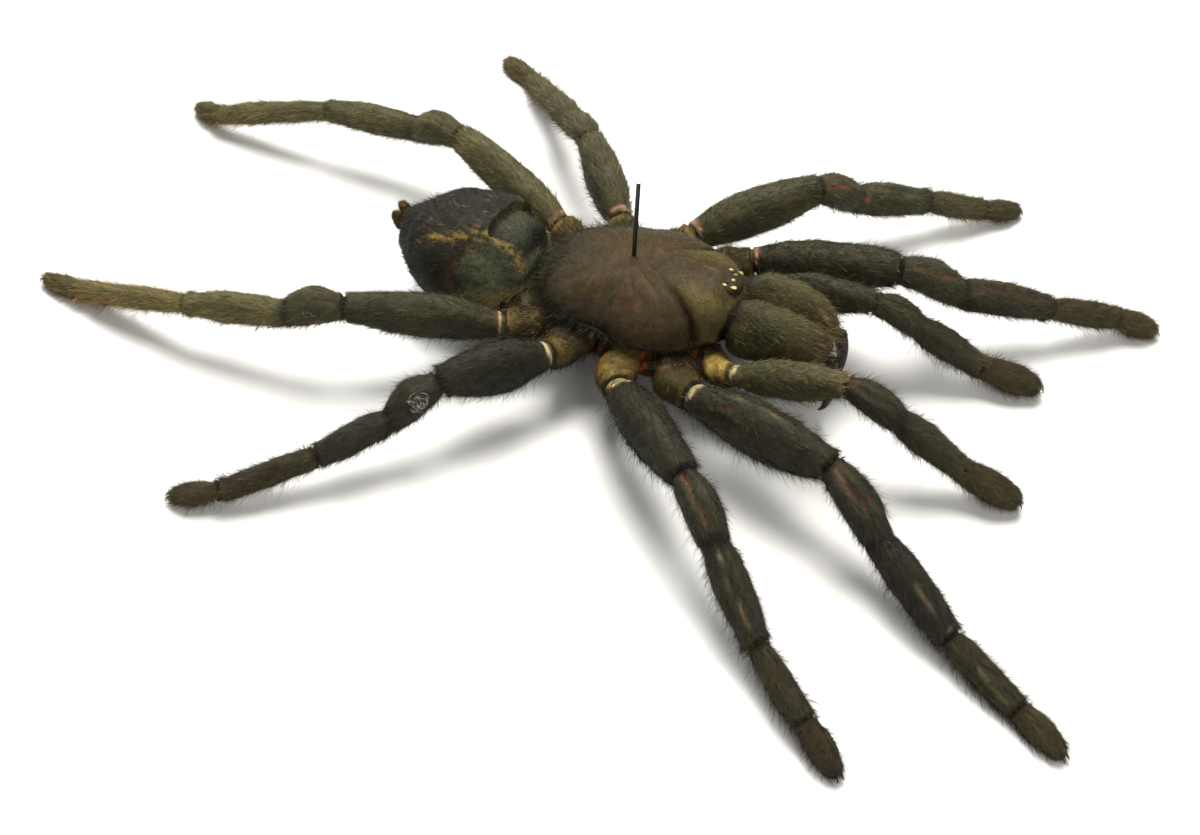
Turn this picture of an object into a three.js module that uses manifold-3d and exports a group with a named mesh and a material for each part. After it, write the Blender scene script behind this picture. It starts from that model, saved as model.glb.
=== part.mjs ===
// A large dried spider with its legs spread, held by one insect pin.
// Units are millimetres. +X is the way the spider faces, +Y its left side, +Z up.
// The feet stand on z = 0, and the origin is under the middle of the whole outline.

import * as THREE from 'three';
import { mergeVertices } from 'three/addons/utils/BufferGeometryUtils.js';
import Module from 'manifold-3d';

const wasm = await Module();
wasm.setup();

// ---------------------------------------------------------------- driving dimensions

const GAP = 0.3; // clearance between neighbouring pieces
const ANIMAL_SHIFT = { x: 7.8, y: 0.9, z: -0.5 }; // centres the spread feet and settles their soles
const MERGE_DISTANCE = 1e-5; // corners closer than this are one corner

// Limb segments, from the hip out. Lengths run along each segment.
// hip: where the femur starts on the left side; root: where the coxa meets the breastplate.
const LEG_SEGMENTS = ['femur', 'patella', 'tibia', 'metatarsus', 'tarsus'];
const PALP_SEGMENTS = ['femur', 'patella', 'tibia', 'tarsus'];

const LIMB_PAIRS = {
  palp: {
    segments: PALP_SEGMENTS,
    root: [13.8, 3.2, 9.3],
    hip: [20, 10.5, 13],
    trochanter: { length: 2.5, turn: 26, rise: 30 },
    coxa: { width: 4, height: 3.9 },
    femur: { length: 17.5, width: 5, height: 7 },
    patella: { length: 10, width: 5, height: 5.2 },
    tibia: { length: 13, width: 4.8, height: 5.2 },
    tarsus: { length: 11, width: 5.2, height: 4.8 },
  },
  leg_1: {
    segments: LEG_SEGMENTS,
    root: [9.8, 4.8, 10.2],
    hip: [15.5, 16, 12],
    trochanter: { length: 3, turn: 40, rise: 14 },
    coxa: { width: 4.8, height: 5 },
    femur: { length: 24.5, width: 6.8, height: 9.6 },
    patella: { length: 13, width: 5.8, height: 6.2 },
    tibia: { length: 17, width: 5.4, height: 6 },
    metatarsus: { length: 13.5, width: 4.4, height: 4.6 },
    tarsus: { length: 8.5, width: 4.4, height: 4.4 },
  },
  leg_2: {
    segments: LEG_SEGMENTS,
    root: [3.8, 5, 10.2],
    hip: [4, 18.5, 11.5],
    trochanter: { length: 3, turn: 66, rise: 12 },
    coxa: { width: 5, height: 5 },
    femur: { length: 22, width: 6.6, height: 9 },
    patella: { length: 11.5, width: 5.6, height: 6 },
    tibia: { length: 15, width: 5.4, height: 6 },
    metatarsus: { length: 12.5, width: 4.3, height: 4.6 },
    tarsus: { length: 8.5, width: 4.4, height: 4 },
  },
  leg_3: {
    segments: LEG_SEGMENTS,
    root: [-2.6, 5, 10.2],
    hip: [-8.5, 16.5, 12],
    trochanter: { length: 3, turn: 122, rise: 14 },
    coxa: { width: 5, height: 5 },
    femur: { length: 18, width: 6.4, height: 9 },
    patella: { length: 10, width: 4.8, height: 5.4 },
    tibia: { length: 12, width: 4.8, height: 5 },
    metatarsus: { length: 15.5, width: 4.2, height: 4.3 },
    tarsus: { length: 8.5, width: 4.1, height: 3.8 },
  },
  leg_4: {
    segments: LEG_SEGMENTS,
    root: [-8.8, 4.6, 10.2],
    hip: [-18, 12.5, 11],
    trochanter: { length: 3, turn: 148, rise: 10 },
    coxa: { width: 5, height: 5 },
    femur: { length: 25, width: 6.2, height: 8 },
    patella: { length: 10.5, width: 5.4, height: 5.8 },
    tibia: { length: 17.5, width: 5, height: 5.4 },
    metatarsus: { length: 24, width: 4, height: 4.2 },
    tarsus: { length: 8, width: 3.6, height: 4.2 },
  },
};

// How each dried limb is bent: degrees for each segment from the hip out.
// turn: heading from straight ahead, positive to the left; rise: slope, positive upwards.
const POSTURE = {
  left_palp: { turn: [-4, 21, 8, 8], rise: [14, -35, -30, -13] },
  left_leg_1: { turn: [-1, 28, 25, 29, 18], rise: [17, -28, -16, -16, -21] },
  left_leg_2: { turn: [33, 54, 37, 33, 38], rise: [18, -34, -15, -19, -16] },
  left_leg_3: { turn: [128, 132, 128, 130, 150], rise: [9, -16, -20, -23, -2] },
  left_leg_4: { turn: [157, 168, 181, 184, 161], rise: [10, -15, -4, -17, -20] },
  right_palp: { turn: [5, -6, 3, 1], rise: [12, -17, -34, -22] },
  right_leg_1: { turn: [-17, -31, -34, -29, -31], rise: [6, -26, -16, -8, -5] },
  right_leg_2: { turn: [-44, -43, -45, -40, -37], rise: [11, -21, -23, -8, -16] },
  right_leg_3: { turn: [-134, -129, -135, -142, -160], rise: [6, -26, -13, -12, -13] },
  right_leg_4: { turn: [-158, -163, -174, -182, -187], rise: [9, -13, -10, -16, -9] },
};

// How each kind of segment swells along its length:
// [fraction of the length, share of the width, share of the height, lift as a share of the height].
const SWELL = {
  coxa: [[0, 0.9, 0.96, 0], [0.5, 1.05, 1, 0], [1, 1.1, 1.04, 0]],
  trochanter: [[0.3, 1.12, 1.08, 0], [1, 0.98, 1, 0]],
  femur: [
    [0, 0.62, 0.5, 0], [0.1, 0.78, 0.68, 0], [0.32, 1, 0.97, 0.01],
    [0.6, 1, 1, 0.01], [0.85, 0.86, 0.8, 0.02], [1, 0.76, 0.56, 0],
  ],
  patella: [[0, 0.82, 0.84, 0], [0.3, 1.04, 0.98, 0.14], [0.7, 1.1, 1.02, 0.1], [1, 0.92, 0.9, 0]],
  tibia: [[0.2, 1.06, 1.06, 0.02], [0.65, 1.06, 1.04, 0.02], [1, 0.82, 0.8, 0]],
  metatarsus: [[0, 0.94, 0.92, 0], [0.35, 1.02, 1.02, 0], [0.8, 1, 1, 0], [1, 0.86, 0.86, 0]],
  tarsus: [
    [0, 0.86, 0.9, 0], [0.3, 1.02, 1.02, 0], [0.75, 1.04, 1.04, 0], [0.94, 0.78, 0.8, 0], [1, 0.46, 0.5, 0],
  ],
};
const LIMB_SIDES = 10;

// The upper shield: [x, half width, crest height] from the rear margin to the front.
// rim: thickness of its upright edge; fullness: below 1 the dome is fuller than an ellipse;
// underside: its share of the width.
const CARAPACE = {
  bottom: 13.8,
  rim: 0.7,
  fullness: 0.8,
  underside: 0.96,
  sides: 14,
  stations: [
    [-15, 3.6, 15.4], [-12.5, 7.8, 17.6], [-7, 11.4, 20.4], [-0.5, 12.5, 22.1],
    [6, 12, 22.7], [11, 10, 22.7], [15, 7.8, 22.2], [17.5, 6.4, 20.4],
  ],
};
const EYE_TUBERCLE = { x: 15.6, z: 21.7, length: 3.2, width: 4, height: 2.2, sides: 12, rings: 8 };

// The breastplate and the small lip in front of it: flat ovals under the coxae.
const STERNUM = { x: 0.8, length: 21, width: 12, z: 6.3, thickness: 1.1 };
const LABIUM = { x: 13.2, length: 3, width: 3.6, z: 6.4, thickness: 0.8 };
const PLATE = { sides: 20, underside: 0.94 };

// The jaws: [x, half width, half height, centre height]. The inner sides nearly touch.
// inner: how far they stay from the middle; pressed: the inner half's share of its round width.
const CHELICERA = {
  inner: 0.25,
  pressed: 0.98,
  sides: 12,
  stations: [
    [17.9, 2.7, 4.2, 16.8], [19.8, 3.1, 5.2, 17], [23.5, 3.3, 5.5, 16.9],
    [28, 3.1, 4.5, 17], [31, 2.6, 3.4, 16.4], [32.6, 1.9, 2.2, 15.8],
  ],
};
const FANG = {
  path: [
    [33.7, 2.9, 14.8], [34.1, 3.4, 12.4], [34.5, 3.7, 9.6],
    [34.6, 3.6, 6.6], [34.2, 3.4, 4.2], [33.5, 3.2, 2.7],
  ],
  radii: [1, 1.05, 0.9, 0.7, 0.45, 0.15],
  steps: 10,
  sides: 8,
};

// The abdomen: [x, half width, half height, centre height] from the waist to the rear.
const ABDOMEN = {
  sides: 16,
  stations: [
    [-16.4, 3.8, 3.4, 12.6], [-17.6, 6.4, 5.7, 12.7], [-20.4, 8.8, 7.9, 12.9], [-24.6, 10.2, 9.1, 13],
    [-29, 10.4, 9.2, 13], [-33.5, 9.6, 8.6, 13.1], [-37.3, 7.4, 6.8, 13.4], [-40, 4.2, 4, 14],
  ],
};
const PEDICEL = { from: -12, to: -16.2, radius: 1.3, z: 12, sides: 10 };
const SPINNERET = {
  base: [-41.15, 1.25, 15],
  tip: [-42.2, 1.35, 17.2],
  radii: [1, 0.6],
  steps: 3,
  sides: 8,
};

// The insect pin stands upright through the middle of the shield.
const PIN = { x: -0.5, bottom: 1.2, top: 37.2, radius: 0.35, sides: 12 };

const MATERIALS = {
  shield: new THREE.MeshStandardMaterial({ color: 0x4a4030, roughness: 0.75, metalness: 0 }),
  skin: new THREE.MeshStandardMaterial({ color: 0x6a5f3c, roughness: 0.7, metalness: 0 }),
  leg: new THREE.MeshStandardMaterial({ color: 0x25231d, roughness: 0.85, metalness: 0 }),
  abdomen: new THREE.MeshStandardMaterial({ color: 0x20251f, roughness: 0.85, metalness: 0 }),
  spinneret: new THREE.MeshStandardMaterial({ color: 0x7a4a1c, roughness: 0.7, metalness: 0 }),
  fang: new THREE.MeshStandardMaterial({ color: 0x140d0a, roughness: 0.25, metalness: 0 }),
  enamel: new THREE.MeshStandardMaterial({ color: 0x0c0c0d, roughness: 0.3, metalness: 0.2 }),
};

// ---------------------------------------------------------------- shared geometry helpers

const radians = THREE.MathUtils.degToRad;

/** A closed body from rings of points, each ring with the same count, closed by flat fans. */
function loft(rings) {
  const sides = rings[0].length;
  const positions = [];
  for (const ring of rings) {
    for (const point of ring) positions.push(point.x, point.y, point.z);
  }
  const indices = [];
  for (let i = 0; i + 1 < rings.length; i += 1) {
    for (let j = 0; j < sides; j += 1) {
      const a = i * sides + j;
      const b = i * sides + ((j + 1) % sides);
      indices.push(a, b, b + sides, a, b + sides, a + sides);
    }
  }
  const last = (rings.length - 1) * sides;
  for (let j = 1; j + 1 < sides; j += 1) {
    indices.push(0, j + 1, j);
    indices.push(last, last + j, last + j + 1);
  }
  const geometry = new THREE.BufferGeometry();
  geometry.setAttribute('position', new THREE.Float32BufferAttribute(positions, 3));
  geometry.setIndex(indices);
  return geometry;
}

/** A ring in a plane of constant x, running from +Y towards +Z, so that a loft towards -X faces out. */
function ovalRing(x, centreY, centreZ, halfWidth, halfHeight, sides) {
  const ring = [];
  for (let j = 0; j < sides; j += 1) {
    const angle = (j / sides) * 2 * Math.PI;
    const y = centreY + halfWidth * Math.cos(angle);
    const z = centreZ + halfHeight * Math.sin(angle);
    ring.push(new THREE.Vector3(x, y, z));
  }
  return ring;
}

function toSolid(geometry) {
  const bare = geometry.clone();
  bare.deleteAttribute('normal');
  bare.deleteAttribute('uv');
  const merged = mergeVertices(bare, MERGE_DISTANCE);
  return new wasm.Manifold(new wasm.Mesh({
    numProp: 3,
    vertProperties: new Float32Array(merged.attributes.position.array),
    triVerts: new Uint32Array(merged.index.array),
  }));
}

function toGeometry(solid) {
  const mesh = solid.getMesh();
  const geometry = new THREE.BufferGeometry();
  geometry.setAttribute('position', new THREE.Float32BufferAttribute(mesh.vertProperties, 3));
  geometry.setIndex(Array.from(mesh.triVerts));
  return geometry;
}

function addMesh(parent, name, geometry, material) {
  geometry.computeVertexNormals();
  const mesh = new THREE.Mesh(geometry, material);
  mesh.name = name;
  parent.add(mesh);
  return mesh;
}

/** The piece that an upright pin leaves free: its radius and the gap, right through. */
function pinClearance() {
  const height = PIN.top - PIN.bottom;
  const drill = new THREE.CylinderGeometry(PIN.radius + GAP, PIN.radius + GAP, height, PIN.sides);
  drill.rotateX(Math.PI / 2);
  drill.translate(PIN.x, 0, PIN.bottom + height / 2);
  return toSolid(drill);
}

// ---------------------------------------------------------------- limbs

/** The unit vector of a heading and a slope, both in degrees. */
function direction(turn, rise) {
  const level = Math.cos(radians(rise));
  return new THREE.Vector3(
    level * Math.cos(radians(turn)),
    level * Math.sin(radians(turn)),
    Math.sin(radians(rise)),
  );
}

/** The heading and slope of the line from one point to another. */
function aim(from, to) {
  const line = to.clone().sub(from);
  return {
    turn: THREE.MathUtils.radToDeg(Math.atan2(line.y, line.x)),
    rise: THREE.MathUtils.radToDeg(Math.atan2(line.z, Math.hypot(line.x, line.y))),
  };
}

/** Every joint of one limb in the animal's frame: coxa root, trochanter, hip and outwards. */
function limbJoints(pair, side, posture) {
  const root = new THREE.Vector3(pair.root[0], side * pair.root[1], pair.root[2]);
  const hip = new THREE.Vector3(pair.hip[0], side * pair.hip[1], pair.hip[2]);
  const { length, turn, rise } = pair.trochanter;
  const collar = hip.clone().addScaledVector(direction(side * turn, rise), -length);
  const parts = [
    { kind: 'coxa', start: root, size: pair.coxa, ...aim(root, collar) },
    { kind: 'trochanter', start: collar, size: pair.coxa, turn: side * turn, rise },
  ];
  let start = hip;
  pair.segments.forEach((kind, i) => {
    parts.push({ kind, start, size: pair[kind], turn: posture.turn[i], rise: posture.rise[i] });
    start = start.clone().addScaledVector(direction(posture.turn[i], posture.rise[i]), pair[kind].length);
  });
  parts.forEach((part, i) => {
    part.end = i + 1 < parts.length ? parts[i + 1].start : start;
    part.along = direction(part.turn, part.rise);
  });
  return parts;
}

/** A ring across a part at one station of its swell, sheared onto the plane with the given normal. */
function limbRing(part, [fraction, widthShare, heightShare, lift], normal, setback) {
  const across = new THREE.Vector3(-Math.sin(radians(part.turn)), Math.cos(radians(part.turn)), 0);
  const up = part.along.clone().cross(across);
  const centre = part.start.clone().lerp(part.end, fraction);
  centre.addScaledVector(up, lift * part.size.height);
  const ring = [];
  for (let j = 0; j < LIMB_SIDES; j += 1) {
    const angle = ((j + 0.5) / LIMB_SIDES) * 2 * Math.PI;
    const offset = across.clone().multiplyScalar(0.5 * part.size.width * widthShare * Math.cos(angle));
    offset.addScaledVector(up, 0.5 * part.size.height * heightShare * Math.sin(angle));
    const shear = -(normal.dot(offset) + setback) / normal.dot(part.along);
    ring.push(centre.clone().add(offset).addScaledVector(part.along, shear));
  }
  return ring;
}

/** The plane between two parts halves their bend. */
function jointNormal(before, after) {
  return before.along.clone().add(after.along).normalize();
}

/** One piece made of one or two parts in a row, cut back by half the gap at both of its joints. */
function limbPiece(parts, before, after) {
  const rings = [];
  parts.forEach((part, i) => {
    const previous = i === 0 ? before : parts[i - 1];
    const next = i + 1 < parts.length ? parts[i + 1] : after;
    for (const station of SWELL[part.kind]) {
      const fraction = station[0];
      let normal = part.along;
      let setback = 0;
      if (fraction === 0 && previous) {
        normal = jointNormal(previous, part);
        setback = -GAP / 2;
      }
      if (fraction === 1 && next) {
        normal = jointNormal(part, next);
        setback = next === after ? GAP / 2 : 0;
      }
      rings.push(limbRing(part, station, normal, setback));
    }
  });
  return loft(rings);
}

/** Cuts off whatever reaches below the surface that the feet stand on, which leaves a flat sole. */
function standOnFloor(geometry) {
  geometry.computeBoundingBox();
  const { min, max } = geometry.boundingBox;
  const floor = -ANIMAL_SHIFT.z;
  if (min.z >= floor) return geometry;
  const depth = 5;
  const margin = 1;
  const below = new THREE.BoxGeometry(max.x - min.x + 2 * margin, max.y - min.y + 2 * margin, depth);
  below.translate((min.x + max.x) / 2, (min.y + max.y) / 2, floor - depth / 2);
  return toGeometry(toSolid(geometry).subtract(toSolid(below)));
}

/** Adds a limb piece by piece. Each mesh sits at its own joint, turned along its own segment. */
function addLimb(parent, name, pair, side, posture) {
  const parts = limbJoints(pair, side, posture);
  const pieces = pair === LIMB_PAIRS.palp
    ? [['coxa', 0, 2], ['femur', 2, 3], ['patella_tibia', 3, 5], ['tarsus', 5, 6]]
    : [['coxa', 0, 2], ['femur', 2, 3], ['patella_tibia', 3, 5], ['metatarsus', 5, 6], ['tarsus', 6, 7]];
  for (const [pieceName, first, stop] of pieces) {
    const geometry = standOnFloor(limbPiece(parts.slice(first, stop), parts[first - 1], parts[stop]));
    const { start, turn, rise } = parts[first];
    const place = new THREE.Object3D();
    place.position.copy(start);
    place.rotation.set(0, -radians(rise), radians(turn), 'ZYX');
    place.updateMatrix();
    geometry.applyMatrix4(place.matrix.clone().invert());
    const material = pieceName === 'coxa' ? MATERIALS.skin : MATERIALS.leg;
    const mesh = addMesh(parent, `${name}_${pieceName}`, geometry, material);
    mesh.position.copy(place.position);
    mesh.rotation.copy(place.rotation);
  }
}

// ---------------------------------------------------------------- body

/** The domed shield with the eye tubercle on its front, drilled for the pin. */
function carapaceGeometry() {
  const { bottom, rim, fullness, underside, sides, stations } = CARAPACE;
  const rings = stations.map(([x, halfWidth, crest]) => {
    const ring = [];
    const height = crest - bottom - rim;
    for (let j = 0; j <= sides; j += 1) {
      const angle = (j / sides) * Math.PI;
      const y = halfWidth * Math.cos(angle);
      const z = bottom + rim + height * Math.sin(angle) ** fullness;
      ring.push(new THREE.Vector3(x, y, z));
    }
    ring.push(new THREE.Vector3(x, -halfWidth * underside, bottom));
    ring.push(new THREE.Vector3(x, halfWidth * underside, bottom));
    return ring;
  });
  const tubercle = new THREE.SphereGeometry(0.5, EYE_TUBERCLE.sides, EYE_TUBERCLE.rings);
  tubercle.scale(EYE_TUBERCLE.length, EYE_TUBERCLE.width, EYE_TUBERCLE.height);
  tubercle.translate(EYE_TUBERCLE.x, 0, EYE_TUBERCLE.z);
  return toGeometry(toSolid(loft(rings)).add(toSolid(tubercle)).subtract(pinClearance()));
}

/** A flat oval plate, lying level. */
function ovalPlate({ x, length, width, z, thickness }) {
  const plate = new THREE.CylinderGeometry(0.5, 0.5 * PLATE.underside, thickness, PLATE.sides);
  plate.rotateX(Math.PI / 2);
  plate.scale(length, width, 1);
  plate.translate(x, 0, z + thickness / 2);
  return plate;
}

/** One jaw: oval across, with its inner side pressed flat against its neighbour's. */
function cheliceraGeometry(side) {
  const { inner, pressed, sides, stations } = CHELICERA;
  const rings = stations.map(([x, halfWidth, halfHeight, centreZ]) => {
    const ring = ovalRing(x, side * (inner + halfWidth), centreZ, halfWidth, halfHeight, sides);
    for (const point of ring) {
      const depthInside = inner + halfWidth - side * point.y;
      if (depthInside > 0) point.y = side * (inner + halfWidth - depthInside * pressed);
    }
    return ring;
  });
  return loft(rings);
}

/** A round tapering body along a smooth path. */
function taperedTube(path, radii, steps, sides) {
  const curve = new THREE.CatmullRomCurve3(path);
  const frames = curve.computeFrenetFrames(steps, false);
  const rings = [];
  for (let i = 0; i <= steps; i += 1) {
    const fraction = i / steps;
    const centre = curve.getPointAt(fraction);
    const place = fraction * (radii.length - 1);
    const lower = Math.min(Math.floor(place), radii.length - 2);
    const radius = THREE.MathUtils.lerp(radii[lower], radii[lower + 1], place - lower);
    const ring = [];
    for (let j = 0; j < sides; j += 1) {
      const angle = (j / sides) * 2 * Math.PI;
      const point = centre.clone().addScaledVector(frames.normals[i], radius * Math.cos(angle));
      ring.push(point.addScaledVector(frames.binormals[i], radius * Math.sin(angle)));
    }
    rings.push(ring);
  }
  return loft(rings);
}

function addBody(parent) {
  addMesh(parent, 'carapace', carapaceGeometry(), MATERIALS.shield);
  const sternum = toGeometry(toSolid(ovalPlate(STERNUM)).subtract(pinClearance()));
  addMesh(parent, 'sternum', sternum, MATERIALS.shield);
  addMesh(parent, 'labium', ovalPlate(LABIUM), MATERIALS.shield);

  const abdomenRings = ABDOMEN.stations.map(
    ([x, halfWidth, halfHeight, z]) => ovalRing(x, 0, z, halfWidth, halfHeight, ABDOMEN.sides),
  );
  addMesh(parent, 'abdomen', loft(abdomenRings.reverse()), MATERIALS.abdomen);

  const { radius, from, to } = PEDICEL;
  const waist = new THREE.CylinderGeometry(radius, radius, from - to, PEDICEL.sides);
  waist.rotateZ(Math.PI / 2);
  const pedicel = addMesh(parent, 'pedicel', waist, MATERIALS.skin);
  pedicel.position.set((from + to) / 2, 0, PEDICEL.z);

  const shaft = new THREE.CylinderGeometry(PIN.radius, PIN.radius, PIN.top - PIN.bottom, PIN.sides);
  shaft.rotateX(Math.PI / 2);
  const pin = addMesh(parent, 'insect_pin', shaft, MATERIALS.enamel);
  pin.position.set(PIN.x, 0, (PIN.top + PIN.bottom) / 2);
}

/** The jaws, fangs and spinnerets, one of each on either side. */
function addPairedBodyPieces(parent, sideName, side) {
  const mirrored = (point) => new THREE.Vector3(point[0], side * point[1], point[2]);
  addMesh(parent, `${sideName}_chelicera`, cheliceraGeometry(side), MATERIALS.leg);
  const fang = taperedTube(FANG.path.map(mirrored), FANG.radii, FANG.steps, FANG.sides);
  addMesh(parent, `${sideName}_fang`, fang, MATERIALS.fang);
  const spinneretPath = [mirrored(SPINNERET.base), mirrored(SPINNERET.tip)];
  const spinneret = taperedTube(spinneretPath, SPINNERET.radii, SPINNERET.steps, SPINNERET.sides);
  addMesh(parent, `${sideName}_spinneret`, spinneret, MATERIALS.spinneret);
}

// ---------------------------------------------------------------- the specimen

const specimen = new THREE.Group();
const animal = new THREE.Group();
animal.position.set(ANIMAL_SHIFT.x, ANIMAL_SHIFT.y, ANIMAL_SHIFT.z);
specimen.add(animal);

addBody(animal);
for (const [sideName, side] of [['left', 1], ['right', -1]]) {
  addPairedBodyPieces(animal, sideName, side);
  for (const [pairName, pair] of Object.entries(LIMB_PAIRS)) {
    const limbName = `${sideName}_${pairName}`;
    addLimb(animal, limbName, pair, side, POSTURE[limbName]);
  }
}

export default specimen;
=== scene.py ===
"""Looks for the pinned tarantula specimen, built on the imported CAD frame.

Tables are in millimetres in the animal's own frame: +X the way it faces, +Y its left side, +Z up.
ANIMAL_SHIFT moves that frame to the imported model's, and meshes are made in metres."""

import bpy
import numpy as np
from mathutils import Matrix, Vector


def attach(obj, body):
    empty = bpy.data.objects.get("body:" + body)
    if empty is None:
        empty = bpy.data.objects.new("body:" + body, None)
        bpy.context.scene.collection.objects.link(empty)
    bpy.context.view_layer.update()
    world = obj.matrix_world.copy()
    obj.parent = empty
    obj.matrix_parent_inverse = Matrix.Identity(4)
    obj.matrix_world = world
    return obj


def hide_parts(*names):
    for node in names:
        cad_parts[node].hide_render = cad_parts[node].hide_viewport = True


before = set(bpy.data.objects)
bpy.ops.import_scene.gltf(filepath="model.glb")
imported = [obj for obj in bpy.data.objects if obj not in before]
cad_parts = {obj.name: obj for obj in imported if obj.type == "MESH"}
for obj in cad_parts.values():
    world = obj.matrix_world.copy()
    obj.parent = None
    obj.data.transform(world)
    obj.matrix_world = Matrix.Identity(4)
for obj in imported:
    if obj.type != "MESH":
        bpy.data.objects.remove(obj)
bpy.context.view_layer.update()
rng = np.random.default_rng(20117)

MM = 0.001
ANIMAL_SHIFT = np.array([7.8, 0.9, -0.5])
FLOOR = -ANIMAL_SHIFT[2]  # the surface under the feet, in the animal's frame
GAP = 0.3  # between neighbouring pieces of a limb
UP = np.array([0.0, 0.0, 1.0])
SIDES = (("left", 1), ("right", -1))

# ---------------------------------------------------------------- the sizes and places that the CAD was made from

LEG = ("femur", "patella", "tibia", "metatarsus", "tarsus")
PALP = ("femur", "patella", "tibia", "tarsus")
# root, hip, trochanter (length, turn, rise), then length, width and height of each part from the coxa out
LIMB_PAIRS = {
    "palp": ((13.8, 3.2, 9.3), (20, 10.5, 13), (2.5, 26, 30), (4, 3.9),
             ((17.5, 5, 7), (10, 5, 5.2), (13, 4.8, 5.2), (11, 5.2, 4.8))),
    "leg_1": ((9.8, 4.8, 10.2), (15.5, 16, 12), (3, 40, 14), (4.8, 5),
              ((24.5, 6.8, 9.6), (13, 5.8, 6.2), (17, 5.4, 6), (13.5, 4.4, 4.6), (8.5, 4.4, 4.4))),
    "leg_2": ((3.8, 5, 10.2), (4, 18.5, 11.5), (3, 66, 12), (5, 5),
              ((22, 6.6, 9), (11.5, 5.6, 6), (15, 5.4, 6), (12.5, 4.3, 4.6), (8.5, 4.4, 4))),
    "leg_3": ((-2.6, 5, 10.2), (-8.5, 16.5, 12), (3, 122, 14), (5, 5),
              ((18, 6.4, 9), (10, 4.8, 5.4), (12, 4.8, 5), (15.5, 4.2, 4.3), (8.5, 4.1, 3.8))),
    "leg_4": ((-8.8, 4.6, 10.2), (-18, 12.5, 11), (3, 148, 10), (5, 5),
              ((25, 6.2, 8), (10.5, 5.4, 5.8), (17.5, 5, 5.4), (24, 4, 4.2), (8, 3.6, 4.2))),
}
# turn and rise of each part from the femur out, in degrees
POSTURE = {
    "left_palp": ((-4, 21, 8, 8), (14, -35, -30, -13)),
    "left_leg_1": ((-1, 28, 25, 29, 18), (17, -28, -16, -16, -21)),
    "left_leg_2": ((33, 54, 37, 33, 38), (18, -34, -15, -19, -16)),
    "left_leg_3": ((128, 132, 128, 130, 150), (9, -16, -20, -23, -2)),
    "left_leg_4": ((157, 168, 181, 184, 161), (10, -15, -4, -17, -20)),
    "right_palp": ((5, -6, 3, 1), (12, -17, -34, -22)),
    "right_leg_1": ((-17, -31, -34, -29, -31), (6, -26, -16, -8, -5)),
    "right_leg_2": ((-44, -43, -45, -40, -37), (11, -21, -23, -8, -16)),
    "right_leg_3": ((-134, -129, -135, -142, -160), (6, -26, -13, -12, -13)),
    "right_leg_4": ((-158, -163, -174, -182, -187), (9, -13, -10, -16, -9)),
}
# [fraction of the length, share of the width, share of the height, lift as a share of the height]
SWELL = {
    "coxa": [(0, 0.9, 0.96, 0), (0.5, 1.05, 1, 0), (1, 1.1, 1.04, 0)],
    "trochanter": [(0.3, 1.12, 1.08, 0), (1, 0.98, 1, 0)],
    "femur": [(0, 0.62, 0.5, 0), (0.1, 0.78, 0.68, 0), (0.32, 1, 0.97, 0.01),
              (0.6, 1, 1, 0.01), (0.85, 0.86, 0.8, 0.02), (1, 0.76, 0.56, 0)],
    "patella": [(0, 0.82, 0.84, 0), (0.3, 1.04, 0.98, 0.14), (0.7, 1.1, 1.02, 0.1), (1, 0.92, 0.9, 0)],
    "tibia": [(0.2, 1.06, 1.06, 0.02), (0.65, 1.06, 1.04, 0.02), (1, 0.82, 0.8, 0)],
    "metatarsus": [(0, 0.94, 0.92, 0), (0.35, 1.02, 1.02, 0), (0.8, 1, 1, 0), (1, 0.86, 0.86, 0)],
    "tarsus": [(0, 0.86, 0.9, 0), (0.3, 1.02, 1.02, 0), (0.75, 1.04, 1.04, 0), (0.94, 0.78, 0.8, 0),
               (1, 0.46, 0.5, 0)],
}
CARAPACE_BOTTOM = 13.8
# x, half width, height of the crest
CARAPACE = np.array([(-15, 3.6, 15.4), (-12.5, 7.8, 17.6), (-7, 11.4, 20.4), (-0.5, 12.5, 22.1),
                     (6, 12, 22.7), (11, 10, 22.7), (15, 7.8, 22.2), (17.5, 6.4, 20.4)])
CHELICERA_INNER = 0.25
# x, half width, half height, height of the middle
CHELICERA = np.array([(17.9, 2.7, 4.2, 16.8), (19.8, 3.1, 5.2, 17), (23.5, 3.3, 5.5, 16.9),
                      (28, 3.1, 4.5, 17), (31, 2.6, 3.4, 16.4), (32.6, 1.9, 2.2, 15.8)])
FANG = [(33.7, 2.9, 14.8), (34.1, 3.4, 12.4), (34.5, 3.7, 9.6),
        (34.6, 3.6, 6.6), (34.2, 3.4, 4.2), (33.5, 3.2, 2.7)]
FANG_RADII = [1, 1.05, 0.9, 0.7, 0.45, 0.15]
# x, half width, half height, height of the middle, from the rear end forward
ABDOMEN = np.array([(-40, 4.2, 4, 14), (-37.3, 7.4, 6.8, 13.4), (-33.5, 9.6, 8.6, 13.1),
                    (-29, 10.4, 9.2, 13), (-24.6, 10.2, 9.1, 13), (-20.4, 8.8, 7.9, 12.9),
                    (-17.6, 6.4, 5.7, 12.7), (-16.4, 3.8, 3.4, 12.6)])
PIN_X, PIN_BOTTOM, PIN_TOP, PIN_RADIUS, PIN_CUT_RADIUS = -0.5, 1.2, 37.2, 0.35, 0.27
CAMERA, LENS = np.array([49.3, -157.7, 185.0]), 43.8
CAMERA_RIGHT, CAMERA_UP = (0.9336, 0.3573, 0.0275), (-0.294, 0.7199, 0.6287)
TOWARDS_CAMERA = np.array([0.2049, -0.595, 0.7771])

# ---------------------------------------------------------------- numbers and noise


def unit(a):
    return a / np.maximum(np.linalg.norm(a, axis=-1, keepdims=True), 1e-9)


def smooth(low, high, x):
    """From 0 at low to 1 at high, which may be the smaller."""
    t = np.clip((x - low) / (high - low), 0, 1)
    return t * t * (3 - 2 * t)


def bump(x, centre, width):
    return np.exp(-(((x - centre) / width) ** 2))


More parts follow.
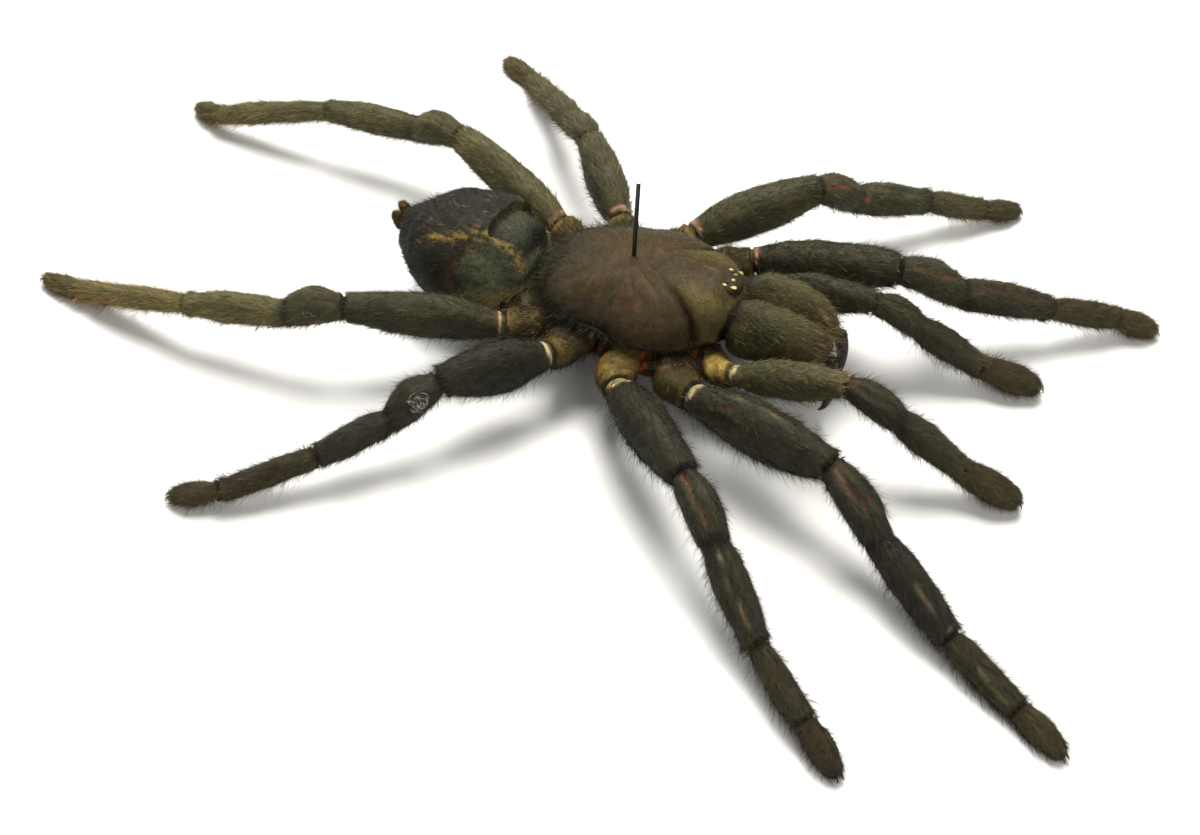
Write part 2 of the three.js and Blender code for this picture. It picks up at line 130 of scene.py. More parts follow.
def circle(sides):
    """Evenly spaced angles round a ring."""
    return np.linspace(0, 2 * np.pi, sides, endpoint=False)


def curve(xs, ys, x):
    """A smooth line through the points (xs, ys), read at x."""
    xs, ys = np.asarray(xs, float), np.asarray(ys, float)
    slope = np.gradient(ys, xs, axis=0)
    k = np.clip(np.searchsorted(xs, x) - 1, 0, len(xs) - 2)
    h = xs[k + 1] - xs[k]
    t = np.clip((x - xs[k]) / h, 0, 1)
    if ys.ndim > 1:
        h, t = h[:, None], t[:, None]
    return ((2 * t**3 - 3 * t**2 + 1) * ys[k] + (t**3 - 2 * t**2 + t) * h * slope[k]
            + (3 * t**2 - 2 * t**3) * ys[k + 1] + (t**3 - t**2) * h * slope[k + 1])


def hashed(i, seed):
    """A number from 0 to 1 for each whole-numbered place i, always the same."""
    h = (i[..., 0] * 374761393 + i[..., 1] * 668265263 + i[..., 2] * 1440662683 + seed * 97463477) & 0xFFFFFFFF
    h = ((h ^ (h >> 13)) * 1274126177) & 0xFFFFFFFF
    return ((h ^ (h >> 16)) & 0xFFFFFF) / 0xFFFFFF


def lumps(points, size, seed=0, octaves=2):
    """Smooth noise from -1 to 1, with features of the given size in mm."""
    total, scale = 0, 0
    for octave in range(octaves):
        q = points / (size / 2**octave)
        cell = np.floor(q).astype(np.int64)
        f = q - cell
        f = f * f * (3 - 2 * f)
        value = 0
        for corner in np.ndindex(2, 2, 2):
            x, y, z = (f[..., k] if on else 1 - f[..., k] for k, on in enumerate(corner))
            value = value + x * y * z * hashed(cell + np.array(corner), seed + 31 * octave)
        total = total + (2 * value - 1) / 2**octave
        scale += 1 / 2**octave
    return total / scale


def srgb(r, g, b):
    """A colour as 0 to 255 screen values, returned linear."""
    c = np.array([r, g, b]) / 255
    return np.where(c <= 0.04045, c / 12.92, ((c + 0.055) / 1.055) ** 2.4)


def painted(rings, base, *coats):
    """A colour for each point: the base, with each (colour, share) laid over it in turn."""
    tint = np.broadcast_to(base, rings.shape)
    for colour, share in coats:
        tint = tint + (colour - tint) * share[..., None]
    return tint


BLACK, SOOT, GREEN_BLACK = srgb(24, 21, 18), srgb(38, 34, 28), srgb(44, 47, 38)
BROWN, OLIVE, OLIVE_TAN = srgb(72, 58, 42), srgb(88, 85, 58), srgb(124, 108, 66)
CREAM, ORANGE, RUST = srgb(196, 184, 138), srgb(184, 78, 20), srgb(120, 58, 40)
GOLD, TAN = srgb(176, 138, 62), srgb(140, 120, 86)

# ---------------------------------------------------------------- materials


class Look:
    """A node material in the making."""

    def __init__(self, name):
        self.material = bpy.data.materials.new(name)
        self.material.use_nodes = True
        self.nodes, self.links = self.material.node_tree.nodes, self.material.node_tree.links
        self.shader = self.nodes["Principled BSDF"]

    def join(self, node, inputs):
        """Sets a node's inputs by name, each to a constant or to another node's output."""
        for socket, value in inputs.items():
            if isinstance(value, bpy.types.NodeSocket):
                self.links.new(value, node.inputs[socket])
            else:
                node.inputs[socket].default_value = value
        return node

    def add(self, kind, output, inputs, **settings):
        """The named output of a new node."""
        node = self.nodes.new("ShaderNode" + kind)
        for key, value in settings.items():
            setattr(node, key, value)
        return self.join(node, inputs).outputs[output]

    def ranged(self, value, source, target):
        """A value with the source range stretched over the target range."""
        return self.add("MapRange", "Result", {"Value": value, "From Min": source[0], "From Max": source[1],
                                               "To Min": target[0], "To Max": target[1]})

    def scaled(self, colour, factor):
        """A colour made lighter or darker."""
        return self.add("VectorMath", "Vector", {"Vector": colour, "Scale": factor}, operation="SCALE")

    def finish(self, inputs):
        """The material, with its shader's inputs set."""
        self.join(self.shader, inputs)
        return self.material


def skin_material(name, rough, grain, relief, contrast=(0.7, 1.3), streak=0.0, specular=0.12):
    """The colour painted on the mesh, broken up by grain, with fine relief and uneven gloss."""
    look = Look(name)
    place = look.add("TexCoord", "Object", {})
    paint = look.add("VertexColor", "Color", {}, layer_name="tint")
    grains = look.add("TexNoise", "Fac", {"Vector": place, "Scale": grain, "Detail": 4, "Roughness": 0.65})
    wrinkles = look.add("TexNoise", "Fac",
                        {"Vector": place, "Scale": grain * 1.7, "Detail": 5, "Distortion": streak})
    return look.finish({
        "Specular IOR Level": specular,
        "Base Color": look.scaled(paint, look.ranged(grains, (0.3, 0.7), contrast)),
        "Roughness": look.ranged(grains, (0.35, 0.65), rough),
        "Normal": look.add("Bump", "Normal", {"Strength": relief, "Distance": 0.12 * MM, "Height": wrinkles})})


# tone along U: black through olive to gold, then the browns, then white lint
HAIR_TONES = [(0.0, srgb(21, 20, 16)), (0.144, srgb(39, 40, 31)), (0.272, srgb(62, 63, 45)),
              (0.4, srgb(92, 90, 61)), (0.528, srgb(128, 115, 72)), (0.64, srgb(182, 156, 88)),
              (0.68, srgb(140, 96, 50)), (0.78, srgb(74, 58, 30)), (0.9, srgb(42, 33, 24)),
              (0.94, srgb(42, 33, 24)), (0.96, srgb(236, 232, 222)), (1.0, srgb(236, 232, 222))]
# Where those lie: how far the plain tones reach at tone 1, the darkest brown, the span of browns, and lint
PLAIN_TONES, DARKEST_BROWN, BROWN_TONES, LINT = 0.8, 0.9, 0.12, 0.98


def hair_material():
    """One hair finish. U picks the tone of a hair, and V runs from its root to its tip."""
    look = Look("hair")
    tone = look.add("SeparateXYZ", "X", {"Vector": look.add("UVMap", "UV", {}, uv_map="OFBake")})
    length = tone.node.outputs["Y"]
    ramp = look.add("ValToRGB", "Color", {"Fac": tone})
    stops = ramp.node.color_ramp.elements
    while len(stops) < len(HAIR_TONES):
        stops.new(0.5)
    for stop, (position, colour) in zip(stops, HAIR_TONES):
        stop.position, stop.color = position, (*colour, 1)
    return look.finish({
        "Specular IOR Level": 0.14,
        "Base Color": look.scaled(ramp, look.ranged(length, (0, 1), (0.55, 1.25))),
        "Roughness": look.ranged(length, (0, 1), (0.75, 0.45))})


def pin_material(name, colour, metallic, grain, gloss):
    """One colour with uneven gloss."""
    look = Look(name)
    noise = look.add("TexNoise", "Fac", {"Scale": grain})
    return look.finish({"Base Color": (*colour, 1), "Metallic": metallic,
                        "Roughness": look.ranged(noise, (0, 1), gloss)})


SHIELD_SKIN = skin_material("shield_skin", (0.45, 0.75), 1500, 0.5)
LIMB_SKIN = skin_material("limb_skin", (0.45, 0.8), 1700, 0.45)
JOINT_SKIN = skin_material("joint_skin", (0.45, 0.75), 1900, 1.0, contrast=(0.55, 1.4), specular=0.1)
ABDOMEN_SKIN = skin_material("abdomen_skin", (0.5, 0.85), 1100, 0.6, streak=0.6)
FANG_HORN = skin_material("fang_horn", (0.35, 0.55), 900, 0.08, contrast=(0.85, 1.15), specular=0.2)
HAIR = hair_material()
PIN_ENAMEL = pin_material("pin_enamel_finish", srgb(16, 16, 17), 0, 1600, (0.22, 0.5))
CUT_STEEL = pin_material("cut_steel", (0.75, 0.75, 0.73), 1, 5200, (0.3, 0.55))

# ---------------------------------------------------------------- meshes


def add_mesh(name, points, faces, material, tint=None):
    """An object from points in mm, groups of (faces, their UVs) and a colour for each point."""
    mesh = bpy.data.meshes.new(name)
    points = (points + ANIMAL_SHIFT) * MM
    corners = np.concatenate([group.ravel() for group, _ in faces]).astype(np.int32)
    sizes = np.concatenate([np.full(len(group), group.shape[1]) for group, _ in faces])
    mesh.vertices.add(len(points))
    mesh.vertices.foreach_set("co", points.ravel())
    mesh.loops.add(len(corners))
    mesh.loops.foreach_set("vertex_index", corners)
    mesh.polygons.add(len(sizes))
    mesh.polygons.foreach_set("loop_start", (np.cumsum(sizes) - sizes).astype(np.int32))
    mesh.polygons.foreach_set("use_smooth", np.ones(len(sizes), bool))
    layer = mesh.uv_layers.new(name="OFBake")
    layer.data.foreach_set("uv", np.concatenate([uv.ravel() for _, uv in faces]))
    if tint is not None:
        colours = mesh.color_attributes.new("tint", "FLOAT_COLOR", "POINT")
        colours.data.foreach_set("color", np.concatenate([tint, np.ones((len(points), 1))], 1).ravel())
    mesh.update(calc_edges=True)
    mesh.materials.append(material)
    thing = bpy.data.objects.new(name, mesh)
    bpy.context.scene.collection.objects.link(thing)
    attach(thing, "root")
    return thing


def around(grid):
    """The grid moved on by one place round each ring."""
    return np.roll(grid, -1, 1)


def grid_frame(rings):
    """Direction from ring to ring, outward normal, and whether the faces have to be turned over."""
    along = np.gradient(rings, axis=0)
    normal = unit(np.cross(around(rings) - np.roll(rings, 1, 1), along))
    outward = ((rings - rings.mean(1, keepdims=True)) * normal).sum() > 0
    return unit(along), normal if outward else -normal, not outward


def swollen(rings, push):
    """The rings pushed outward by so many mm."""
    return rings + push[..., None] * grid_frame(rings)[1]


def laid(flow, rings):
    """The part of flow that lies in the surface."""
    normal = grid_frame(rings)[1]
    return unit(flow - normal * (flow * normal).sum(-1, keepdims=True))


def add_skin(name, rings, tint, material, replaces=()):
    """A closed skin through rings of points. The ends are closed with a fan."""
    n, m = rings.shape[:2]
    tint = np.broadcast_to(tint, rings.shape)
    index = np.arange(n * m).reshape(n, m)
    on = around(index)
    quads = np.stack([index[:-1], on[:-1], on[1:], index[1:]], -1).reshape(-1, 4)
    u, v = np.arange(m) / m, 0.03 + 0.94 * np.arange(n) / (n - 1)
    u0, v0, v1 = np.broadcast_arrays(u, v[:-1, None], v[1:, None])
    u1 = u0 + 1 / m
    quad_uv = np.stack([u0, v0, u1, v0, u1, v1, u0, v1], -1).reshape(-1, 4, 2)
    first, last = np.full(m, n * m), np.full(m, n * m + 1)
    triangles = np.concatenate([np.stack([on[0], index[0], first], -1), np.stack([index[-1], on[-1], last], -1)])
    low, high, next_u, tip_u = np.full(m, v[0]), np.full(m, v[-1]), u + 1 / m, u + 0.5 / m
    first_uv = np.stack([next_u, low, u, low, tip_u, np.full(m, 0.005)], -1)
    last_uv = np.stack([u, high, next_u, high, tip_u, np.full(m, 0.995)], -1)
    triangle_uv = np.concatenate([first_uv, last_uv]).reshape(-1, 3, 2)
    turn = -1 if grid_frame(rings)[2] else 1
    faces = [(quads[:, ::turn], quad_uv[:, ::turn]), (triangles[:, ::turn], triangle_uv[:, ::turn])]
    points, colours = (np.concatenate([grid.reshape(-1, 3), grid[0].mean(0)[None], grid[-1].mean(0)[None]])
                       for grid in (rings, tint))
    thing = add_mesh(name, points, faces, material, colours)
    if replaces:
        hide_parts(*replaces)


ROOT_DEPTH, LOWEST_HAIR = 0.06, 0.03  # in mm, the second above the floor
LOCK_TONE, LOCK_RISE, LOCK_SWAY = 0.11, 0.45, 0.35  # how much locks of hair differ


class Coat:
    """Hair for one piece, gathered as flat tapered blades."""

    def __init__(self, name, slot):
        self.name, self.slot = name, slot
        self.points, self.triangles, self.uv, self.count = [], [], [], 0

    def add(self, root, paths, width, side, tone):
        """Hairs that start at root and pass through each of paths, width mm wide, in the given tone."""
        bends = len(paths)
        marks = []
        for k, row in enumerate([root, *paths[:-1]]):
            half = 0.5 * (width * (1 - 0.25 * k / bends))[:, None] * side
            marks += [row - half, row + half]
        points = np.stack([*marks, paths[-1]], 1)
        points[..., 2] = np.maximum(points[..., 2], FLOOR + LOWEST_HAIR)
        count, each = points.shape[:2]
        faces = []
        for k in range(0, each - 3, 2):
            faces += [(k, k + 1, k + 3), (k, k + 3, k + 2)]
        faces = np.array([*faces, (each - 3, each - 2, each - 1)])
        uv = np.empty((count, each, 2))
        uv[..., 0] = np.clip(tone, 0.01, 0.99)[:, None] + np.append(np.tile([-0.002, 0.002], bends), 0)
        uv[..., 1] = np.repeat(np.linspace(0.03, 0.97, bends + 1), 2)[:each]
        start = self.count + np.arange(count)[:, None, None] * each
        self.points.append(points.reshape(-1, 3))
        self.triangles.append((start + faces[None]).reshape(-1, 3))
        self.uv.append(uv[:, faces].reshape(-1, 3, 2))
        self.count += count * each

    def grow(self, rings, per_mm2, length, lift, tone, width=0.06, bends=2, spread=0.07, brown=0.0, jitter=0.22,
             droop=0.5, flow=None, lock=(2.2, 0.3)):
        """Scatters hairs over a grid of rings.

        Density, length, lift in degrees, tone and the share of brown hairs may vary over the grid. Locks of hairs
        with like tones and directions are lock mm long and wide."""
        shape = rings.shape[:2]
        along, normal, _ = grid_frame(rings)
        maps = [np.broadcast_to(np.asarray(a, float), shape) for a in (per_mm2, length, lift, tone, brown)]
        diagonals = np.cross(around(rings)[1:] - rings[:-1], rings[1:] - around(rings)[:-1])
        weight = 0.5 * np.linalg.norm(diagonals, axis=-1) * 0.5 * (maps[0][:-1] + maps[0][1:])
        total = int(weight.sum())
        if total < 1:
            return
        pick = rng.choice(weight.size, total, p=weight.ravel() / weight.sum())
        s, t = rng.random((2, total))

        def read(grid):
            corners = [a.reshape(-1, *grid.shape[2:])[pick] for a in
                       (grid[:-1], around(grid)[:-1], grid[1:], around(grid)[1:])]
            shares = [(1 - s) * (1 - t), s * (1 - t), (1 - s) * t, s * t]
            return sum(c * (w[:, None] if c.ndim > 1 else w) for c, w in zip(corners, shares))

        spot, out, way = read(rings), unit(read(normal)), unit(read(along if flow is None else flow))
        reach = read(maps[1]) * rng.uniform(0.65, 1.25, total)
        rise = np.radians(read(maps[2]) * rng.uniform(0.6, 1.4, total))
        shade = read(maps[3]) + rng.normal(0, spread, total)
        row_step = np.linalg.norm(np.diff(rings, axis=0), axis=-1).mean()
        column_step = np.linalg.norm(around(rings) - rings, axis=-1).mean()
        place = np.stack([(pick // shape[1] + t) * row_step / lock[0],
                          (pick % shape[1] + s) * column_step / lock[1], np.zeros(total)], -1)
        shade = shade + LOCK_TONE * lumps(place, 1, 401, 2)
        browns = DARKEST_BROWN - BROWN_TONES * np.clip(shade / 0.5, 0, 1)
        shade = np.where(rng.random(total) < read(maps[4]), browns, PLAIN_TONES * np.clip(shade, 0, 0.85))
        if np.min(maps[3]) >= LINT:
            shade = np.full(total, LINT)
        rise = rise * (1 + LOCK_RISE * lumps(place, 1, 402, 1))
        sideways = LOCK_SWAY * lumps(place, 1, 403, 1)[:, None] * unit(np.cross(out, way))
        stray = rng.normal(0, jitter, (total, 3)) + sideways
        root = spot - ROOT_DEPTH * out
        point, paths = root, []
        for k in range(bends):
            tilt = rise * (1 - droop * k / max(bends - 1, 1))
            heading = unit(way * np.cos(tilt)[:, None] + out * np.sin(tilt)[:, None] + stray)
            point = point + heading * (reach / bends)[:, None]
            paths.append(point)
        heading = unit(paths[0] - root)
        flat = unit(np.cross(heading, out))
        turn = np.radians(rng.uniform(-55, 55, total))[:, None]
        side = flat * np.cos(turn) + np.cross(heading, flat) * np.sin(turn)
        self.add(root, paths, width * rng.uniform(0.7, 1.3, total), side, shade)

    def dust(self, rings, per_mm2, width=0.13):
        """Scatters pale specks."""
        self.grow(rings, per_mm2, 0.16, 5, LINT, width, 1)

    def finish(self):
        points, triangles, uv = (np.concatenate(a) for a in (self.points, self.triangles, self.uv))
        thing = add_mesh(self.name, points, [(triangles, uv)], HAIR)


def ball(centre, radii, rows, columns):
    """Rings over an ellipsoid whose poles lie on its first axis."""
    polar = np.linspace(0.12, np.pi - 0.12, rows)[:, None]
    turn = circle(columns)
    local = np.stack(np.broadcast_arrays(-radii[0] * np.cos(polar), radii[1] * np.sin(polar) * np.cos(turn),
                                         radii[2] * np.sin(polar) * np.sin(turn)), -1)
    return np.array(centre) + local


def tube(path, radii, sides, steps):
    """Rings round a smooth path, with a radius at each of its points."""
    place = np.linspace(0, len(path) - 1, steps)
    points, radius = (curve(np.arange(len(path)), values, place) for values in (path, radii))
    heading = unit(np.gradient(points, axis=0))
    first = unit(np.cross(heading, [0.13, 0.97, 0.21]))  # a direction that no path here follows
    second = np.cross(heading, first)
    turn = circle(sides)[None, :, None]
    outward = first[:, None] * np.cos(turn) + second[:, None] * np.sin(turn)
    return points[:, None] + radius[:, None, None] * outward


# ---------------------------------------------------------------- limbs


def direction(turn, rise):
    turn, rise = np.radians(turn), np.radians(rise)
    return np.array([np.cos(rise) * np.cos(turn), np.cos(rise) * np.sin(turn), np.sin(rise)])


def limb_parts(limb):
    """Each part of a limb from the coxa out: its kind, ends, heading and size."""
    side_name, pair = limb.split("_", 1)
    side = dict(SIDES)[side_name]
    root, hip, (length, turn, rise), coxa, sizes = LIMB_PAIRS[pair]
    root, hip = np.array(root) * (1, side, 1), np.array(hip) * (1, side, 1)
    collar = hip - length * direction(side * turn, rise)
    parts = [dict(kind="coxa", start=root, end=collar, size=coxa),
             dict(kind="trochanter", start=collar, end=hip, size=coxa)]
    for kind, (reach, *size), turn, rise in zip(PALP if pair == "palp" else LEG, sizes, *POSTURE[limb]):
        start = parts[-1]["end"]
        parts.append(dict(kind=kind, start=start, end=start + reach * direction(turn, rise), size=size))
    for part in parts:
        part["along"] = unit(part["end"] - part["start"])
        part["length"] = np.linalg.norm(part["end"] - part["start"])
    return parts


# What single segments add to SWELL: fraction centre, spread, width gain, height gain, lift in mm
CHARACTER = {
    ("right_leg_3", "patella"): (0.45, 0.3, 0.12, 0.16, 0.2),
    ("left_leg_3", "patella"): (0.15, 0.2, 0.16, 0.1, 0.3),
    ("left_leg_4", "patella"): (0.55, 0.25, 0.1, 0.1, 0.4),
    ("right_leg_4", "patella"): (0.45, 0.25, 0.1, 0.12, 0.4),
    ("right_leg_1", "patella"): (0.5, 0.3, 0.0, 0.04, 0.5),
    ("right_leg_2", "patella"): (0.5, 0.3, 0.0, 0.04, 0.5),
    ("left_leg_1", "femur"): (0.45, 0.3, 0.0, -0.06, -0.3),
    ("right_leg_1", "femur"): (0.6, 0.25, 0.02, 0.06, -0.2),
    ("right_leg_2", "femur"): (0.55, 0.3, 0.05, 0.04, -0.1),
    ("right_leg_3", "femur"): (0.5, 0.3, 0.04, 0.05, -0.3),
}
LIMB_SIDES, RING_STEP = 28, 0.42
LONGEST_BEND = 1.8  # how far to each side of a joint inside a piece its curve reaches
RIM, RIM_DEPTH = 0.16, 0.22  # the rounded edge at a piece's end
END_ROWS = np.array([0, 0.05, 0.14, 0.3])  # where rings lie close together there


def limb_grid(limb, parts, first, stop):
    """Rings over the parts first to stop, and where each lies: its kind, fraction and distances to both ends."""
    chain = parts[first:stop]
    before = parts[first - 1]["along"] if first else None
    after = parts[stop]["along"] if stop < len(parts) else None
    lengths = np.array([p["length"] for p in chain])
    offsets = np.concatenate([[0], np.cumsum(lengths)])
    total = offsets[-1]
    knots = []
    for part, offset in zip(chain, offsets):
        width, height = part["size"]
        for fraction, w, h, lift in SWELL[part["kind"]]:
            knots.append((offset + fraction * part["length"], w * width / 2, h * height / 2, lift * height))
    knots = np.array(knots)
    low, high = (GAP / 2 if before is not None else 0), total - (GAP / 2 if after is not None else 0)
    middle = np.linspace(low + 0.5, high - 0.5, max(int(total / RING_STEP), 8))
    s = np.concatenate([low + END_ROWS, middle, high - END_ROWS[::-1]])
    halves = curve(knots[:, 0], knots[:, 1:], s)
    owner = np.clip(np.searchsorted(offsets, s, side="right") - 1, 0, len(chain) - 1)
    headings = np.array([p["along"] for p in chain])
    along = headings[owner]
    centre = np.array([p["start"] for p in chain])[owner] + along * (s - offsets[owner])[:, None]
    for k in range(1, len(chain)):
        ease = min(LONGEST_BEND, 0.4 * lengths[k - 1], 0.4 * lengths[k])
        t = np.clip((s - offsets[k] + ease) / (2 * ease), 0, 1)[:, None]
        near = (np.abs(s - offsets[k]) < ease)[:, None]
        joint = chain[k]["start"]
        soft = ((1 - t) ** 2 * (joint - ease * headings[k - 1]) + 2 * t * (1 - t) * joint
                + t**2 * (joint + ease * headings[k]))
        centre = np.where(near, soft, centre)
        along = np.where(near, unit(headings[k - 1] * (1 - t) + headings[k] * t), along)
    for part, offset in zip(chain, offsets):
        if (limb, part["kind"]) in CHARACTER:
            peak, spread, *gains, lift = CHARACTER[limb, part["kind"]]
            swell = bump((s - offset) / part["length"], peak, spread)
            halves[:, :2] *= 1 + np.array(gains) * swell[:, None]
            halves[:, 2] += lift * swell
    across = unit(np.cross(UP, along))
    up = np.cross(along, across)
    rim, plane = np.ones(len(s)), along.copy()
    for beyond, heading, half, to_end, to_joint in ((before, headings[0], halves[0, 1], s - low, s),
                                                    (after, headings[-1], halves[-1, 1], high - s, total - s)):
        if beyond is not None:
            rim *= 1 - RIM_DEPTH * bump(to_end, 0, RIM)
            share = (1 - smooth(0, 1.1 * half + 1.2, to_joint))[:, None]
            plane = plane * (1 - share) + unit(beyond + heading) * share
    theta = (np.arange(LIMB_SIDES) + 0.5) / LIMB_SIDES * 2 * np.pi
    keel = 1 + 0.06 * np.sin(theta)  # a little wider above than below
    offset = (across[:, None] * (halves[:, 0] * rim)[:, None, None] * (np.cos(theta) * keel)[None, :, None]
              + up[:, None] * (halves[:, 1] * rim)[:, None, None] * np.sin(theta)[None, :, None])
    lean = -(offset * plane[:, None]).sum(-1) / (along * plane).sum(-1)[:, None]
    rings = (centre + up * halves[:, 2:3])[:, None] + offset + along[:, None] * lean[..., None]
    kinds = np.array([p["kind"] for p in chain])
    columns = dict(s=s, kind=kinds[owner], fraction=(s - offsets[owner]) / lengths[owner], from_start=s - low,
                   from_end=high - s, radius=halves[:, :2].mean(1))
    where = {key: values[:, None] for key, values in columns.items()}
    where.update(theta=np.broadcast_to(theta, rings.shape[:2]), half=halves, free_end=after is None)
    return rings, where


def angle_gap(theta, degrees):
    """How far theta is from an angle round the ring, in radians."""
    return np.abs((theta - np.radians(degrees) + np.pi) % (2 * np.pi) - np.pi)


# The soft base of each leg: how light its skin is, how many mm at the far end are clear of fur, and how far its
# back bulges towards the next leg, in mm
BASES = {"leg_1": (0.22, 5, 1.9), "leg_2": (0.72, 9.5, 0.9), "leg_3": (0.5, 2.6, 1.2), "leg_4": (0.6, 2.0, 1.0),
         "palp": (1.6, 7, 0.7)}
# How light each limb's hair is, from black (0) up, how wide the pale crescent on its femur is, in mm, and the
# segments that are lighter or darker than the rest. The second to fourth left legs, on the far side, are lighter
# than their right fellows, partly in their own colour and partly as painted haze of light on that side.
LIMBS = {
    "right_leg_1": (0.19, 1.5, {"patella": -0.04, "tibia": -0.16, "metatarsus": -0.15, "tarsus": -0.09}),
    "right_leg_2": (0.13, 2.0, {"metatarsus": -0.07, "tarsus": -0.2}),
    "right_leg_3": (0.1, 1.1, {}),
    "right_leg_4": (0.32, 0.9, {"femur": -0.06, "tibia": 0.23, "metatarsus": 0.29, "tarsus": 0.14}),
    "right_palp": (0.3, 1.2, {"femur": 0.12, "patella": -0.14, "tibia": -0.12, "tarsus": -0.18}),
    "left_leg_1": (0.2, 1.3, {}),
    "left_leg_2": (0.28, 1.4, {"femur": 0.06, "tarsus": -0.14}),
    "left_leg_3": (0.38, 1.1, {"tarsus": -0.08}),
    "left_leg_4": (0.42, 1.3, {"femur": 0.06, "metatarsus": 0.04, "tarsus": -0.05}),
    "left_palp": (0.2, 1.0, {"tarsus": -0.13}),
}
DARK_LIMBS = ("right_leg_1", "right_leg_2", "right_leg_3", "left_palp", "right_palp", "left_leg_1")
# By kind of segment: how light its hair is, how far its skin has sunk in drying, in mm, how thick and how long its
# long hairs are, and what share of its hair is brown. Of two numbers, the first is for the dark limbs.
KIND_TONE = {"coxa": 0.22, "trochanter": 0.16, "metatarsus": 0.06, "tarsus": 0.1}
SUNK = {"femur": 0.1, "patella": 0.25, "tibia": 0.28, "metatarsus": 0.25, "tarsus": 0.3}
GUARD = {"coxa": 0.3, "femur": (1.1, 0.5), "patella": 1, "tibia": 1.8, "metatarsus": 2.6, "tarsus": 1.8}
GUARD_LENGTH = {"coxa": 1.4, "trochanter": 1.4, "femur": 2, "patella": 2.6, "tibia": 2.9, "metatarsus": 3.3,
                "tarsus": 2.2}
BROWN_SHARE = {"coxa": 0.3, "trochanter": 0.3, "femur": 0.12, "patella": 0.25, "tibia": (0.55, 0.25),
               "metatarsus": (0.55, 0.25), "tarsus": (0.75, 0.5)}
PINCH = {"patella_tibia": 0.3, "metatarsus": 0.26, "tarsus": 0.1}  # at the start of a piece, in mm
# Joints whose skin shows light, by the part they come before
OPEN_JOINTS = {("right_leg_1", 3): GOLD, ("right_palp", 3): GOLD, ("right_leg_1", 5): CREAM * 0.8}
# Bare lines and grooves: kind, from, to, angle, half width in mm, depth in mm, colour, share
ALL_LINES = [("patella", 0.02, 0.8, 68, 0.42, 0.3, BROWN * 0.6, 0.7),
             ("patella", 0.02, 0.8, 112, 0.42, 0.3, BROWN * 0.6, 0.7),
             ("tibia", 0.08, 0.9, 70, 0.26, 0.12, BROWN * 0.6, 0.4),
             ("tibia", 0.08, 0.9, 110, 0.26, 0.12, BROWN * 0.6, 0.4)]
LINES = {
    "right_leg_1": [("patella", 0.02, 0.75, 112, 0.42, 0.42, srgb(126, 88, 62) * 0.7, 0.9),
                    ("patella", 0.1, 0.72, 84, 0.16, 0.3, RUST * 0.4, 0.8),
                    ("tibia", 0.45, 0.92, 104, 0.2, 0.12, TAN * 0.5, 0.6),
                    ("tibia", 0.93, 1.2, 96, 0.4, 0.1, CREAM * 0.6, 0.9),
                    ("metatarsus", 0.4, 0.95, 128, 0.5, 0.1, srgb(92, 92, 62), 0.7),
                    ("femur", 0.06, 0.5, 118, 0.13, 0.12, RUST * 0.4, 0.8),
                    ("femur", 0.04, 0.9, 80, 0.17, 0.12, TAN * 0.5, 0.6)],
    "right_leg_2": [("patella", 0.0, 0.22, 116, 0.34, 0.5, ORANGE * 0.35, 0.9),
                    ("patella", 0.12, 0.85, 112, 0.4, 0.4, srgb(126, 92, 66) * 0.7, 0.9),
                    ("tibia", 0.04, 0.92, 112, 0.24, 0.15, TAN * 0.6, 1.0)],
    "right_leg_4": [("patella", 0.1, 0.6, 120, 0.5, 0.5, RUST * 0.6, 0.7)],
    "right_palp": [("patella", -0.05, 0.2, 100, 0.6, 0.1, RUST * 0.5, 0.7),
                   ("femur", 0.05, 0.8, 60, 0.3, 0.15, SOOT, 0.8)],
    "left_leg_1": [("femur", 0.02, 0.9, 108, 0.12, 0.14, RUST * 0.5, 0.5),
                   ("patella", 0.1, 0.7, 122, 0.3, 0.3, RUST * 0.7, 0.7),
                   ("tibia", 0.05, 0.9, 108, 0.24, 0.14, RUST * 0.6, 0.5)],
    "left_leg_2": [("femur", 0.04, 0.9, 128, 0.16, 0.14, TAN * 0.45, 0.5),
                   ("patella", 0.0, 0.5, 132, 0.4, 0.35, RUST * 0.85, 0.9),
                   ("patella", 0.0, 0.6, 98, 0.3, 0.3, RUST * 0.5, 0.8),
                   ("tibia", -0.06, 0.15, 140, 0.9, 0.1, srgb(140, 92, 56), 0.9),
                   ("tibia", 0.2, 0.9, 116, 0.22, 0.14, TAN * 0.5, 0.6)],
    "left_leg_3": [("patella", 0.1, 0.7, 70, 0.3, 0.3, BROWN * 0.7, 0.7)],
    "left_leg_4": [("patella", 0.1, 0.8, 62, 0.3, 0.3, RUST * 0.6, 0.5)],
}


def by_kind(table, kind, dark=False):
    """A table's number for each ring of a limb."""
    entries = [np.atleast_1d(table.get(k, 0)) for k in kind.flat]
    return np.array([entry[0 if dark else -1] for entry in entries])[:, None]


